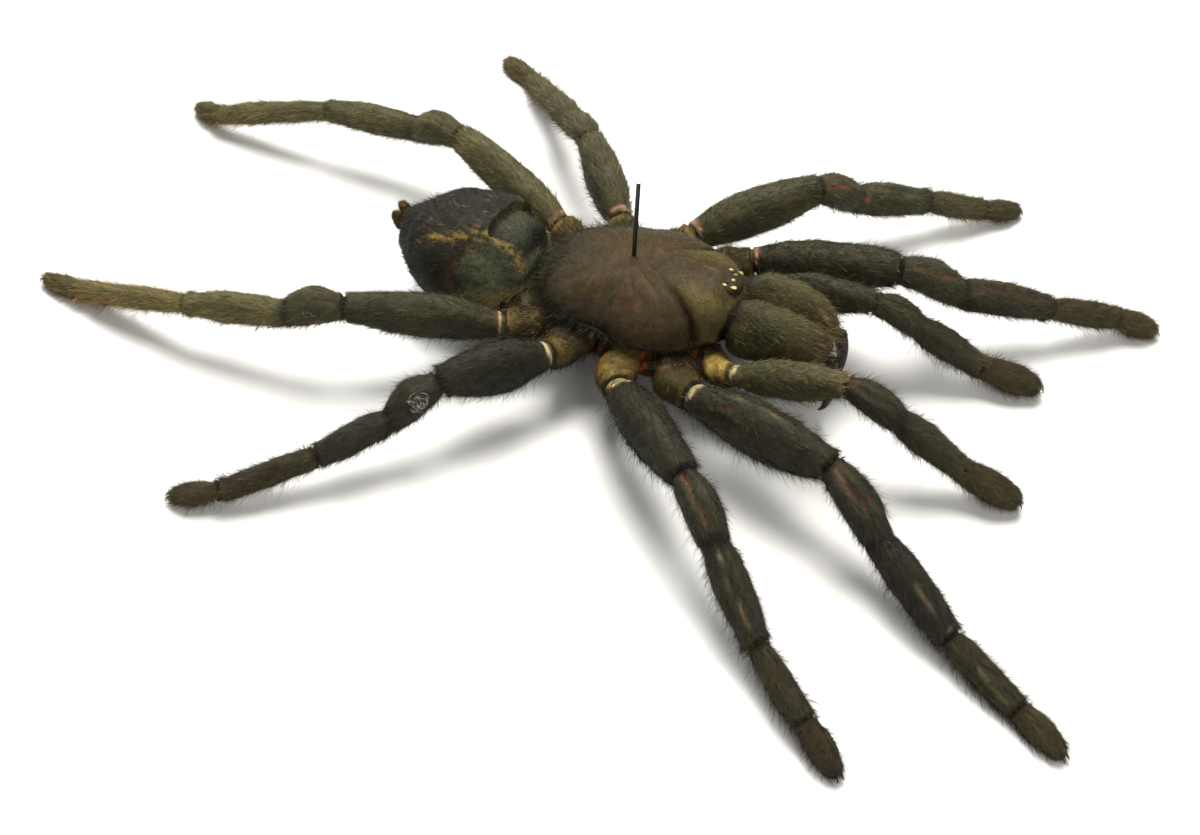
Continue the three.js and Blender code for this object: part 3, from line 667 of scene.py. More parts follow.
def limb_push(limb, piece, rings, where, normal, crease):
    """How far one piece of a limb stands out from its plain shape, in mm, with its knee and the band before it."""
    kind, fraction, theta, s, from_end = (where[key] for key in ("kind", "fraction", "theta", "s", "from_end"))
    inside = smooth(0, 1.2, np.minimum(where["from_start"], from_end))
    push = (0.22 * lumps(rings, 3.4, 5) + 0.1 * lumps(rings, 1.3, 9) + 0.28 * crease) * inside
    push = push - by_kind(SUNK, kind) * inside
    push = push - 0.35 * (kind == "tarsus") * smooth(0.3, 1, fraction)
    push = push - PINCH.get(piece, 0) * bump(where["from_start"], 0, 1.3)
    knee = before_knee = np.zeros(push.shape)
    if piece == "patella_tibia":
        from_knee = (s - s[kind == "patella"].max()) + 0.5 * np.sin(theta + where["seed"])
        knee = bump(from_knee, 0, 0.75)
        before_knee = smooth(-1.9, -0.5, from_knee) * smooth(0.3, -0.3, from_knee)
        push = push - 0.2 * knee + 0.1 * before_knee
    if piece == "coxa":
        # the leg bases are broad at the back, where they lie against the next leg
        behind = smooth(0.1, 0.9, -normal[..., 0]) * smooth(1.0, 3.5, s) * smooth(1.2, 3.6, from_end)
        push = push + BASES[limb.split("_", 1)[1]][2] * behind
        folds = lumps(np.stack(np.broadcast_arrays(s / 0.45, np.cos(theta), np.sin(theta)), -1), 1, 19)
        push = push + 0.26 * folds * smooth(6, 1.5, from_end) * inside
        push = push + (0.16 * lumps(rings, 0.9, 23) + 0.2 * lumps(rings, 2.0, 26)) * inside
    return push, knee, before_knee


def paint_base(limb, rings, tint, where, normal):
    """The skin of a leg's base, painted black underneath as shade, with how furred it is, how far it faces up and
    how bare it is.
    """
    from_end = where["from_end"]
    light, clear, _ = BASES[limb.split("_", 1)[1]]
    clear = clear if limb.startswith("right") else min(clear, 2.4)
    above = smooth(-0.45, 0.35, np.sin(where["theta"]))
    furred = smooth(clear - 1.5, clear + 1, from_end + 1.2 * lumps(rings, 2, 48))
    dirt = smooth(-0.05, 0.4, lumps(rings, 0.5, 49)) * smooth(-0.6, 0.2, lumps(rings, 2.4, 50))
    warm = 0.8 * (limb[-1] not in "34") * smooth(0.6, 1, np.abs(normal[..., 0]))
    wrinkle = lumps(rings * np.array([1.0, 1.0, 0.5]), 0.9, 43)
    slant = from_end + 0.5 * lumps(rings, 1.6, 45)
    tint = painted(
        rings, tint,
        (srgb(128, 108, 52) * light, 0.95 * above),
        (BROWN * 0.35, 0.8 * furred + 0.6 * dirt * (1 - furred)),
        (srgb(40, 33, 18), 0.6 * smooth(-0.1, 0.5, lumps(rings, 1.7, 44))),
        (RUST * 0.4, 0.25 * smooth(0.25, 0.7, lumps(rings, 2.2, 41))),
        (ORANGE * 0.7, warm * smooth(0.1, 0.6, lumps(rings, 1.5, 42))),
        (srgb(178, 158, 92) * 0.5, 0.4 * smooth(0.3, 0.6, wrinkle) * above),
        # painted shade: a dark band right at the far end, where the femur meets the base
        (SOOT * 0.4, 0.8 * (1 - smooth(0.12, 0.3, slant))),
        (BROWN * 0.5, 0.5 * bump(slant, 1.6, 0.2) * above),
        # painted shade: the underside of the leg base is painted black
        (BLACK, 0.9 * (1 - above)))
    return tint, furred, above, 0.8 * above * (1 - 0.9 * furred) * smooth(0.1, 0.3, slant)


def paint_crescent(limb, rings, tint, where):
    """The pale crescent at the start of a femur, with painted shade at the joint and a painted highlight along its
    edge, and how bare it is.
    """
    near = where["from_start"]
    arch = np.sqrt(np.clip((np.sin(where["theta"] + 0.25) - 0.12) / 0.88, 0, 1))
    reach = LIMBS[limb][1] * arch * (1 + 0.15 * lumps(rings, 1.2, 46))
    share = near / (reach + 0.02)
    pale = CREAM if limb.startswith("right") else srgb(176, 142, 116)
    # painted shade: soot right at the joint where the femur meets its base, plus random grime
    grime_and_joint_shade = 0.8 * (1 - smooth(0.05, 0.25, near)) + 0.5 * smooth(0.2, 0.5, lumps(rings, 0.5, 51))
    cream = painted(rings, pale * 0.52, (OLIVE_TAN * 0.5, smooth(-0.2, 0.4, lumps(rings, 0.8, 47))),
                    (SOOT * 0.6, grime_and_joint_shade))
    # painted highlight: a paler line along the crescent's outer edge
    cream = painted(rings, cream * (0.55 + 0.45 * arch)[..., None],
                    (pale * 0.9, bump(near - 0.85 * reach, 0, 0.16)))
    tint = painted(rings, tint, (cream, (1 - smooth(0.82, 1.0, share)) * (arch > 0.05)),
                   (RUST * 0.8, 0.8 * bump(near - 1.05 * reach, 0, 0.14) * (arch > 0.05)))
    return tint, 1 - smooth(0.95, 1.1, share)


def dress_limb(limb, coat, piece, rings, where):
    """Shapes one piece of a limb and grows its hair. Returns its rings and colours."""
    kind, fraction, theta, radius, from_start, from_end = (
        where[key] for key in ("kind", "fraction", "theta", "radius", "from_start", "from_end"))
    limb_tone, _, segment_tones = LIMBS[limb]
    dark = limb in DARK_LIMBS
    normal = grid_frame(rings)[1]
    where["seed"] = sum(map(ord, limb + piece)) % 977
    lengthwise = np.broadcast_arrays(where["s"] / 7, np.cos(theta) * radius / 1.5, np.sin(theta) * radius / 1.5)
    crease = lumps(np.stack(lengthwise, -1), 1, where["seed"])
    push, knee, before_knee = limb_push(limb, piece, rings, where, normal, crease)
    base_tone = (limb_tone + (by_kind(KIND_TONE, kind) + by_kind(segment_tones, kind)) + 0.07 * lumps(rings, 4, 3)
                 + 0.06 * crease)
    below, above = smooth(-0.2, 0.9, -np.sin(theta)), smooth(-0.1, 0.9, np.sin(theta))
    light = np.clip((base_tone - 0.05) / 0.5, 0, 1)
    tint = painted(rings, SOOT, (OLIVE, light), (GREEN_BLACK, 0.4 * (1 - light)),
                   (srgb(66, 54, 28), 0.45 * (kind == "tarsus") + 0.25 * dark * (kind == "metatarsus")))
    bare = np.zeros(push.shape)
    for on_kind, low, high, angle, width, depth, colour, strength in ALL_LINES + LINES.get(limb, []):
        run = (kind == on_kind) * smooth(low, low + 0.06, fraction) * (1 - smooth(high - 0.1, high, fraction))
        off = angle_gap(theta, angle + 6 * np.sin(fraction * 7 + angle)) * radius
        push = push - depth * (run * bump(off, 0, width))
        tint = painted(rings, tint, (colour, strength * bump(off, 0, 0.75 * width) * run))
        bare = np.maximum(bare, run * bump(off, 0, 1.25 * width))
    rings = rings + normal * push[..., None]
    rings[..., 2] = np.maximum(rings[..., 2], FLOOR)

    if piece == "coxa":
        tint, furred, coxa_above, clear = paint_base(limb, rings, tint, where, normal)
        bare = np.maximum(bare, clear)
    if piece == "femur":
        tint, clear = paint_crescent(limb, rings, tint, where)
        bare = np.maximum(bare, clear)
    open_start = np.where(from_start < 0.4, 1 - from_start / 0.4, 0) * (piece != "femur")
    tint = painted(rings, tint, (BROWN * 0.3, 0.7 * open_start), (BLACK, 0.6 * knee))

    keep = np.clip(1 - bare, 0, 1)
    at_end = np.maximum(smooth(2.4, 0.6, from_end) * (piece != "tarsus"), before_knee)
    pale_end = 1.2 * limb.endswith("palp") * at_end * smooth(-0.6, 0.2, np.sin(theta))
    soft_pad = ((kind == "tarsus") + (kind == "metatarsus") * smooth(0.35, 0.6, fraction)) * below
    guard = by_kind(GUARD, kind, dark)
    long = by_kind(GUARD_LENGTH, kind) + 1.9 * below * (kind == "femur")
    cover = np.where(np.isin(kind, ("coxa", "trochanter")), 8, 14.0 if dark else 13.4)
    brown = by_kind(BROWN_SHARE, kind, dark) * (1 - 0.5 * smooth(0.55, 0.9, fraction) * (kind == "tarsus"))
    brown = brown * np.clip(1 - pale_end, 0, 1)
    tone = base_tone + 0.28 * soft_pad - 0.08 * knee + 0.13 * pale_end
    coat.grow(rings, cover * keep, 1.0 + 0.2 * below, 15, tone - 0.08 + 0.06 * crease, 0.07, 1, 0.08, brown)
    coat.grow(rings, 4.5 * keep, 1.7 + 0.4 * below, 22, tone + 0.11, 0.048, 2, 0.14, brown)
    coat.grow(rings, (2.0 + 2.6 * below) * keep * (0.5 + guard / 2), 1.9, 52, tone + 0.03, 0.038, 2, 0.08, brown,
              droop=0.3)
    coat.grow(rings, guard * (0.4 + 0.5 * below) * keep, long, 48, tone + 0.08, 0.045, 3, 0.13, brown, droop=0.4)
    if piece == "coxa":
        coat.grow(rings, 4 * coxa_above * (1 - furred), 0.6, 20, 0.2, 0.04, 1, 0.12, 0.4)
        coat.grow(rings, 9 * furred * coxa_above, 1.3, 30, 0.12, brown=0.5)
    elif not where["free_end"]:
        fringe = np.maximum(smooth(1.7, 0.3, from_end), before_knee)
        coat.grow(rings, 10 * fringe, 1.6, 14, tone, brown=brown, jitter=0.25)
    coat.dust(rings, 0.1 * above)
    coat.grow(rings, 9 * soft_pad, 0.9, 62, 0.44 + 0.06 * lumps(rings, 2, 77), 0.07, 1)
    if where["free_end"]:
        coat.grow(rings, 14 * smooth(0.8, 0.97, fraction), 1.0, 24, tone + 0.22, 0.055, brown=0.15, jitter=0.25)
    return rings, tint


def joint_membrane(parts, k, widths):
    """The folded skin that bridges the gap before part k."""
    a, b = parts[k - 1], parts[k]
    normal = unit(a["along"] + b["along"])
    across = unit(np.cross(UP, normal))
    reach = np.linspace(-1.3, 1.3, 15)
    centre = b["start"] + np.where(reach[:, None] < 0, a["along"], b["along"]) * reach[:, None]
    wide, high = ((width * (0.86 + 0.05 * np.cos(reach * 9)))[:, None, None] for width in widths)
    theta = circle(24)[None, :, None]
    rings = centre[:, None] + across * wide * np.cos(theta) + np.cross(normal, across) * high * np.sin(theta)
    return rings + 0.06 * lumps(rings, 0.8, 7)[..., None]


def claws(tip, along):
    """The paths of two small curved claws at the end of a tarsus, hidden among the hair but for their tips."""
    across = unit(np.cross(UP, along))
    up = np.cross(along, across)
    for side in (-1, 1):
        start = tip - 0.9 * along + side * 0.45 * across + 0.25 * up
        yield [start, start + 0.9 * along + 0.15 * up, start + 1.5 * along - 0.25 * up,
               start + 1.75 * along - 0.75 * up + side * 0.1 * across]


def build_limb(limb):
    parts = limb_parts(limb)
    pieces = [("coxa", 0, 2), ("femur", 2, 3), ("patella_tibia", 3, 5)]
    pieces += [("tarsus", 5, 6)] if limb.endswith("palp") else [("metatarsus", 5, 6), ("tarsus", 6, 7)]
    coat = Coat(f"{limb}_hair", "limb")
    ends = {}  # the half width and height on either side of each joint
    for piece, first, stop in pieces:
        rings, where = limb_grid(limb, parts, first, stop)
        rings, tint = dress_limb(limb, coat, piece, rings, where)
        material, slot = (JOINT_SKIN, "joint_skin") if piece == "coxa" else (LIMB_SKIN, "limb")
        add_skin(f"{limb}_{piece}_skin", rings, tint, material, [f"{limb}_{piece}"])
        ends[first] = where["half"][0, :2]
    for _, first, _ in pieces[1:]:
        at_hip = first == 2
        rings = joint_membrane(parts, first, ends[first] * (0.98 if at_hip else 0.84))
        pale = smooth(0.1, 0.6, lumps(rings, 1.6, 13)) * (0.9 if at_hip else 0.4)
        tint = painted(rings, OLIVE * 0.5 if at_hip else BROWN * 0.22,
                       (OPEN_JOINTS.get((limb, first), CREAM * 0.3), pale))
        add_skin(f"{limb}_joint_{first - 1}", rings, tint, JOINT_SKIN)
    for k, path in enumerate(claws(parts[-1]["end"], parts[-1]["along"])):
        rings = tube(path, [0.16, 0.14, 0.1, 0.02], 8, 10)
        rings[..., 2] = np.maximum(rings[..., 2], FLOOR + 0.01)
        add_skin(f"{limb}_claw_{k + 1}", rings, BLACK, FANG_HORN)
    coat.finish()


# ---------------------------------------------------------------- shield and eyes

FOVEA = np.array([-2.2, 0.0])
SHIELD_RIM = 0.7
HEAD_GROOVE = ([0, 3, 6, 9, 11.5, 14, 16], [0.6, 2.2, 4.0, 5.6, 7.6, 9.2, 10])  # x and how far out it lies


def shield_grid():
    """The upper shield as rings of constant x, closed underneath."""
    rear, front = CARAPACE[0, 0], CARAPACE[-1, 0]
    x = np.concatenate([[-15.5, -15.4, -15.2], np.linspace(rear, front, 110), [17.75, 17.95, 18.05]])
    ends = np.sqrt(np.clip(1 - np.clip((rear - x) / 0.55, 0, 1) ** 2, 0.05, 1)) * np.sqrt(
        np.clip(1 - np.clip((x - front) / 0.6, 0, 1) ** 2, 0.05, 1))
    half, crest = curve(CARAPACE[:, 0], CARAPACE[:, 1:], np.clip(x, rear, front)).T
    half = half * (0.55 + 0.45 * ends)
    crest = CARAPACE_BOTTOM + (crest - CARAPACE_BOTTOM) * (0.6 + 0.4 * ends)
    theta = np.concatenate([np.linspace(-0.1, np.pi + 0.1, 96), np.linspace(np.pi + 0.5, 2 * np.pi - 0.5, 12)])
    lift = np.sign(np.sin(theta)) * np.abs(np.sin(theta)) ** 0.8
    z = CARAPACE_BOTTOM + SHIELD_RIM + np.maximum(lift, 0) * (crest - CARAPACE_BOTTOM - SHIELD_RIM)[:, None]
    z = z + np.minimum(lift, 0) * SHIELD_RIM * 2
    z = np.where(theta > np.pi + 0.3, CARAPACE_BOTTOM + 0.1, z)
    corner = 2.4 * np.abs(np.cos(theta)) ** 2.5 * smooth(10, 18, x)[:, None]
    return np.stack([x[:, None] - corner, half[:, None] * np.cos(theta), z], -1)


def build_shield():
    rings = shield_grid()
    x, y = rings[..., 0], np.abs(rings[..., 1])
    top = smooth(14.2, 15.2, rings[..., 2])
    ray = rings[..., :2] - FOVEA
    angle, reach = np.arctan2(ray[..., 1], ray[..., 0]), np.linalg.norm(ray, axis=-1)
    # the groove round the head runs from the middle out and forward to the margin
    head_edge = y - curve(*HEAD_GROOVE, np.clip(x, 0, 16))
    ahead = smooth(0.5, 4, x) * (1 - smooth(14.2, 16.5, x))
    depth = 0.25 + 0.75 * smooth(7, 10.5, x) * smooth(15, 12, x)
    groove = bump(head_edge + 0.5 * lumps(rings, 3, 29), 0.25, 0.6) * ahead * depth
    head = smooth(0.2, -2.2, head_edge) * smooth(2, 8, x)
    radial = np.cos(angle * 9) ** 8 * smooth(2.5, 5, reach) * (1 - smooth(9.5, 12.5, reach)) * (1 - head)
    radial = radial * smooth(-0.2, 0.5, lumps(rings, 5, 27))
    pit = bump(x, FOVEA[0], 0.5) * bump(y, 0, 1.3)
    push = (-1.0 * groove + 0.35 * head - 0.32 * radial - 0.5 * pit + 0.16 * lumps(rings, 4, 21)
            + 0.07 * lumps(rings, 1.4, 22)) * top
    margin = bump(rings[..., 2], 14.7, 0.5)
    push = push - 0.15 * bump(rings[..., 2], 15.5, 0.4) * top + 0.12 * margin
    push = push - np.where(rings[..., 1] < 0, 1.3, 0.7) * (smooth(5, 10, y) * bump(x, -3.5, 6))
    rings = swollen(rings, push)

    velvet = lumps(rings * np.array([1, 1, 0.6]), 1.1, 28, 3)
    from_middle = np.hypot(rings[..., 0] - 3.5, rings[..., 1] + 2.5)
    worn = smooth(0.0, 0.5, lumps(rings, 3, 24)) * smooth(9.5, 4, from_middle)
    side_dark = smooth(7, 11, y) * smooth(4, -2, x)
    line = bump(rings[..., 1], 1.3 - 0.1 * (x - 8), 0.13) * smooth(6.5, 8, x) * (1 - smooth(12.5, 13.5, x))
    tint = painted(
        rings, srgb(58, 47, 27),
        (srgb(86, 76, 42), 0.7 * head * smooth(1, 5, y)),
        (BROWN * 0.35, 0.8 * groove),
        (srgb(100, 64, 44), 0.28 * radial + 0.5 * worn * smooth(-0.3, 0.3, lumps(rings, 1.6, 30))),
        (srgb(42, 37, 26), smooth(-4, -13, x) * 0.7),
        (srgb(34, 30, 22), 0.75 * side_dark),
        (srgb(66, 58, 30), 0.5 * margin))
    # painted shade: below the rim, the shield's underside is painted nearly black
    tint = painted(rings, tint * (1 + 0.4 * velvet[..., None]), (srgb(104, 66, 44), 0.8 * line),
                   (BLACK, 0.8 * (1 - top)))
    add_skin("carapace_skin", rings, tint, SHIELD_SKIN, ["carapace"])

    coat = Coat("carapace_hair", "shield")
    outward = np.concatenate([unit(ray), np.zeros((*x.shape, 1))], -1)
    flow = laid(outward + 0.6 * head[..., None] * np.array([1, 0, 0]), rings)
    tone = (0.265 + 0.2 * head * smooth(1, 5, y) - 0.16 * groove + 0.12 * velvet + 0.06 * lumps(rings, 3.5, 25)
            - 0.07 * smooth(-4, -13, x) - 0.1 * side_dark) + 0.05 * head
    keep = top * (1 - 0.5 * radial) * (1 - 0.9 * pit) * (1 - 0.8 * line) * (1 - 0.6 * worn)
    coat.grow(rings, 20 * keep, 0.5, 24, tone, 0.06, 1, 0.11, 0.3, 0.3, flow=flow, lock=(0.5, 0.5))
    coat.grow(rings, 4 * keep, 0.8, 30, tone + 0.06, 0.045, 1, 0.14, 0.25, 0.35, flow=flow, lock=(0.5, 0.5))
    coat.grow(rings, 14 * margin, 1.5, 10, 0.22, spread=0.12, jitter=0.35, flow=flow)
    high = np.where(rings[..., 1] > 0, 19.8, 17.5)
    fringe = smooth(4.5, 8, y) * smooth(5, -1, x) * smooth(high, high - 2, rings[..., 2]) * top
    coat.grow(rings, 8 * fringe, 2.9, 14, 0.14, 0.055, 3, 0.12, jitter=0.3, flow=flow)
    coat.dust(rings, 0.22 * top, 0.14)
    coat.grow(rings, 6 * smooth(16.8, 17.8, x) * top, 1.5, 30, 0.36, 0.055, flow=flow)
    coat.grow(rings, 8 * smooth(-10, -14, x) * top, 2.6, 22, 0.2, flow=flow)
    coat.finish()


EYE_SHIFT = 0.45  # the eyes sit a little left of the middle, on the twisted head
# x, y, z, radius, how much longer than wide, how pale on the left and on the right; for the first pair, the dark
# front middle eyes, that pale share is a painted highlight
EYES = [(15.95, 0.62, 22.97, 0.36, 1, 0.25, 0.6), (16.35, 1.7, 22.5, 0.42, 1.45, 0.45, 1),
        (14.9, 1.75, 22.6, 0.34, 1.3, 0.8, 0.9), (15.2, 1.2, 22.95, 0.24, 1.2, 0, 0)]


def build_eyes():
    """The dark mound on the head, with four pairs of eyes."""
    mound = ball((15.6, EYE_SHIFT, 21.75), (1.9, 2.6, 1.2), 26, 36)
    mound = mound + 0.06 * lumps(mound, 0.9, 3)[..., None]
    dark = 0.8 * bump(mound[..., 1], EYE_SHIFT, 1.9) * bump(mound[..., 0], 15.8, 1.4)
    add_skin("eye_tubercle_skin", mound, painted(mound, srgb(58, 50, 30), (BLACK, dark)), SHIELD_SKIN)
    for k, (x, y, z, radius, stretch, *pale_and_glint_shares) in enumerate(EYES):
        for (name, side), pale in zip(SIDES, pale_and_glint_shares):
            rings = ball((x, side * y + EYE_SHIFT, z - 0.1), (radius * stretch, radius, radius * 0.6), 12, 18)
            patch = smooth(-0.5, 0.1, lumps(rings, 0.35, 31 + k))
            rim = smooth(0.06, -0.04, rings[..., 2] - z)
            # pale eyes, and on the first pair a painted highlight on the dark lens
            tint = painted(rings, srgb(40, 44, 46), (srgb(196, 188, 112), pale * (0.55 + 0.45 * patch)),
                           (BLACK, rim * pale))
            add_skin(f"{name}_eye_{k + 1}", rings, tint, FANG_HORN)


# ---------------------------------------------------------------- jaws


def build_jaw(side_name, side):
    """A hairy jaw and its bare fang."""
    low, high = CHELICERA[0, 0], CHELICERA[-1, 0]
    x = np.concatenate([np.linspace(low - 3, low - 0.4, 8), np.linspace(low, high, 64), [high + 0.25, high + 0.42]])
    wide, tall, middle = curve(CHELICERA[:, 0], CHELICERA[:, 1:], np.clip(x, low, high)).T[..., None]
    shrink = np.concatenate([np.linspace(0.72, 0.86, 8), np.ones(64), [0.8, 0.5]])[:, None]
    x = x[:, None]
    theta = circle(56)
    y = CHELICERA_INNER + wide + (wide * shrink * (1 + 0.07 * bump(x, 24, 4))) * np.cos(theta)
    z = middle + (tall * shrink) * np.sin(theta)
    rings = np.stack(np.broadcast_arrays(x, side * np.maximum(y, CHELICERA_INNER * 0.5), z), -1)
    push = 0.14 * lumps(rings, 3.2, 61) + 0.05 * lumps(rings, 1.1, 62)
    push = push + 1.0 * (bump(x, low + 0.6, 2.6) * smooth(0.1, 1.2, np.cos(theta) - np.sin(theta)))
    if side > 0:
        push = push - 0.35 * bump(z, 21.5, 2)
    rings = swollen(rings, push * smooth(low - 1.5, low + 0.5, x))
    under = smooth(-0.2, 0.8, -np.sin(theta))
    tip = smooth(29.5, 32.5, x)
    tint = painted(
        rings, srgb(56, 54, 36),
        (srgb(78, 72, 42), 0.6 * smooth(-0.2, 0.5, lumps(rings, 4, 63))),
        (BROWN * 0.25, smooth(low + 1.0, low - 0.4, x)),
        (RUST * 0.5, 0.6 * bump(np.sin(theta), -0.75, 0.18) + 0.3 * tip))
    add_skin(f"{side_name}_chelicera_skin", rings, tint, LIMB_SKIN, [f"{side_name}_chelicera"])

    coat = Coat(f"{side_name}_chelicera_hair", "limb")
    tone = 0.47 + 0.1 * lumps(rings, 3, 64) + 0.06 * smooth(0, 1, np.sin(theta)) - 0.2 * smooth(low + 1.5, low, x)
    coat.grow(rings, 15, 0.9, 15, tone, 0.07, 1, 0.08, 0.25, 0.2)
    coat.grow(rings, 3.5, 1.4, 24, tone + 0.02, 0.045, jitter=0.3)
    inner = smooth(0.2, -0.8, np.cos(theta)) * smooth(24, 31, x)
    coat.grow(rings, 3.2 * inner, 3.2, 32, 0.3, 0.045, 3, 0.15, 0.6)
    coat.grow(rings, 0.9 * inner, 3.4, 36, 0.8, 0.04, 3, 0.1)
    coat.grow(rings, 4 * tip + 2.4 * under * smooth(24, 30, x), 2.4, 44, 0.4, 0.05, 3, 0.2)
    coat.finish()

    fang = tube([(x, side * y, z) for x, y, z in FANG], FANG_RADII, 20, 60)
    base = smooth(0, 0.35, np.linspace(0, 1, 60))[:, None]
    tint = painted(fang, srgb(20, 11, 8), (srgb(7, 5, 5), base))
    add_skin(f"{side_name}_fang_horn", fang, tint, FANG_HORN, [f"{side_name}_fang"])


# ---------------------------------------------------------------- abdomen

# Lines over the dried abdomen, each with how far it reaches to either side, in mm
FOLD = [(-22.4, 7.2, 18.6), (-22.9, 5.1, 20.1), (-23.8, 1.2, 21.4), (-24.3, -2.3, 21.6), (-23.9, -3.9, 21.0)]
ABDOMEN_LINES = {
    "fold": (FOLD, 3.4),
    "lip": (FOLD, 0.42),
    "streak": ([(-32.6, -6.4, 19.2), (-29.4, -5.7, 20.2), (-26.2, -4.9, 20.8), (-24.6, -4.7, 20.9)], 0.75),
    "tail": ([(-23.9, -3.9, 21), (-21, -3.9, 20.1), (-19.0, -4.1, 18.4), (-18.1, -4.8, 16.8)], 0.8),
    "flap": ([(-16.6, 0.2, 16.6), (-17.0, -2.6, 16.4), (-18.2, -5.4, 15.2), (-19.6, -7.2, 13.6)], 0.9),
    "rim": ([(-26.5, -6.2, 19.6), (-28.2, -8.6, 17.6), (-28.4, -9.7, 15.4), (-26.8, -9.8, 12.9)], 1.0),
}


def ridge(rings, points, width):
    """1 on a line through the points, falling off on either side, and how far to one side of it a point is."""
    line = curve(np.arange(len(points)), points, np.linspace(0, len(points) - 1, 40))
    apart = np.linalg.norm(rings[:, :, None] - line, axis=-1)
    near = apart.argmin(-1)
    heading = unit(np.gradient(line, axis=0))[near]
    beside = (np.cross(heading, grid_frame(rings)[1]) * (rings - line[near])).sum(-1)
    return bump(apart.min(-1), 0, width), -beside


def abdomen_grid():
    """The plain abdomen as rings of constant x, from its rear end forward."""
    low, high = ABDOMEN[0, 0], ABDOMEN[-1, 0]
    x = np.concatenate([[low - 0.9, low - 0.75, low - 0.45], np.linspace(low, high, 150),
                        [high + 0.35, high + 0.5]])
    wide, tall, middle = curve(ABDOMEN[:, 0], ABDOMEN[:, 1:], np.clip(x, low, high)).T[..., None]
    shrink = np.concatenate([[0.25, 0.6, 0.85], np.ones(150), [0.8, 0.4]])[:, None]
    theta = circle(150)
    return np.stack(np.broadcast_arrays(x[:, None], (wide * shrink) * np.cos(theta),
                                        middle + (tall * shrink) * np.sin(theta)), -1)


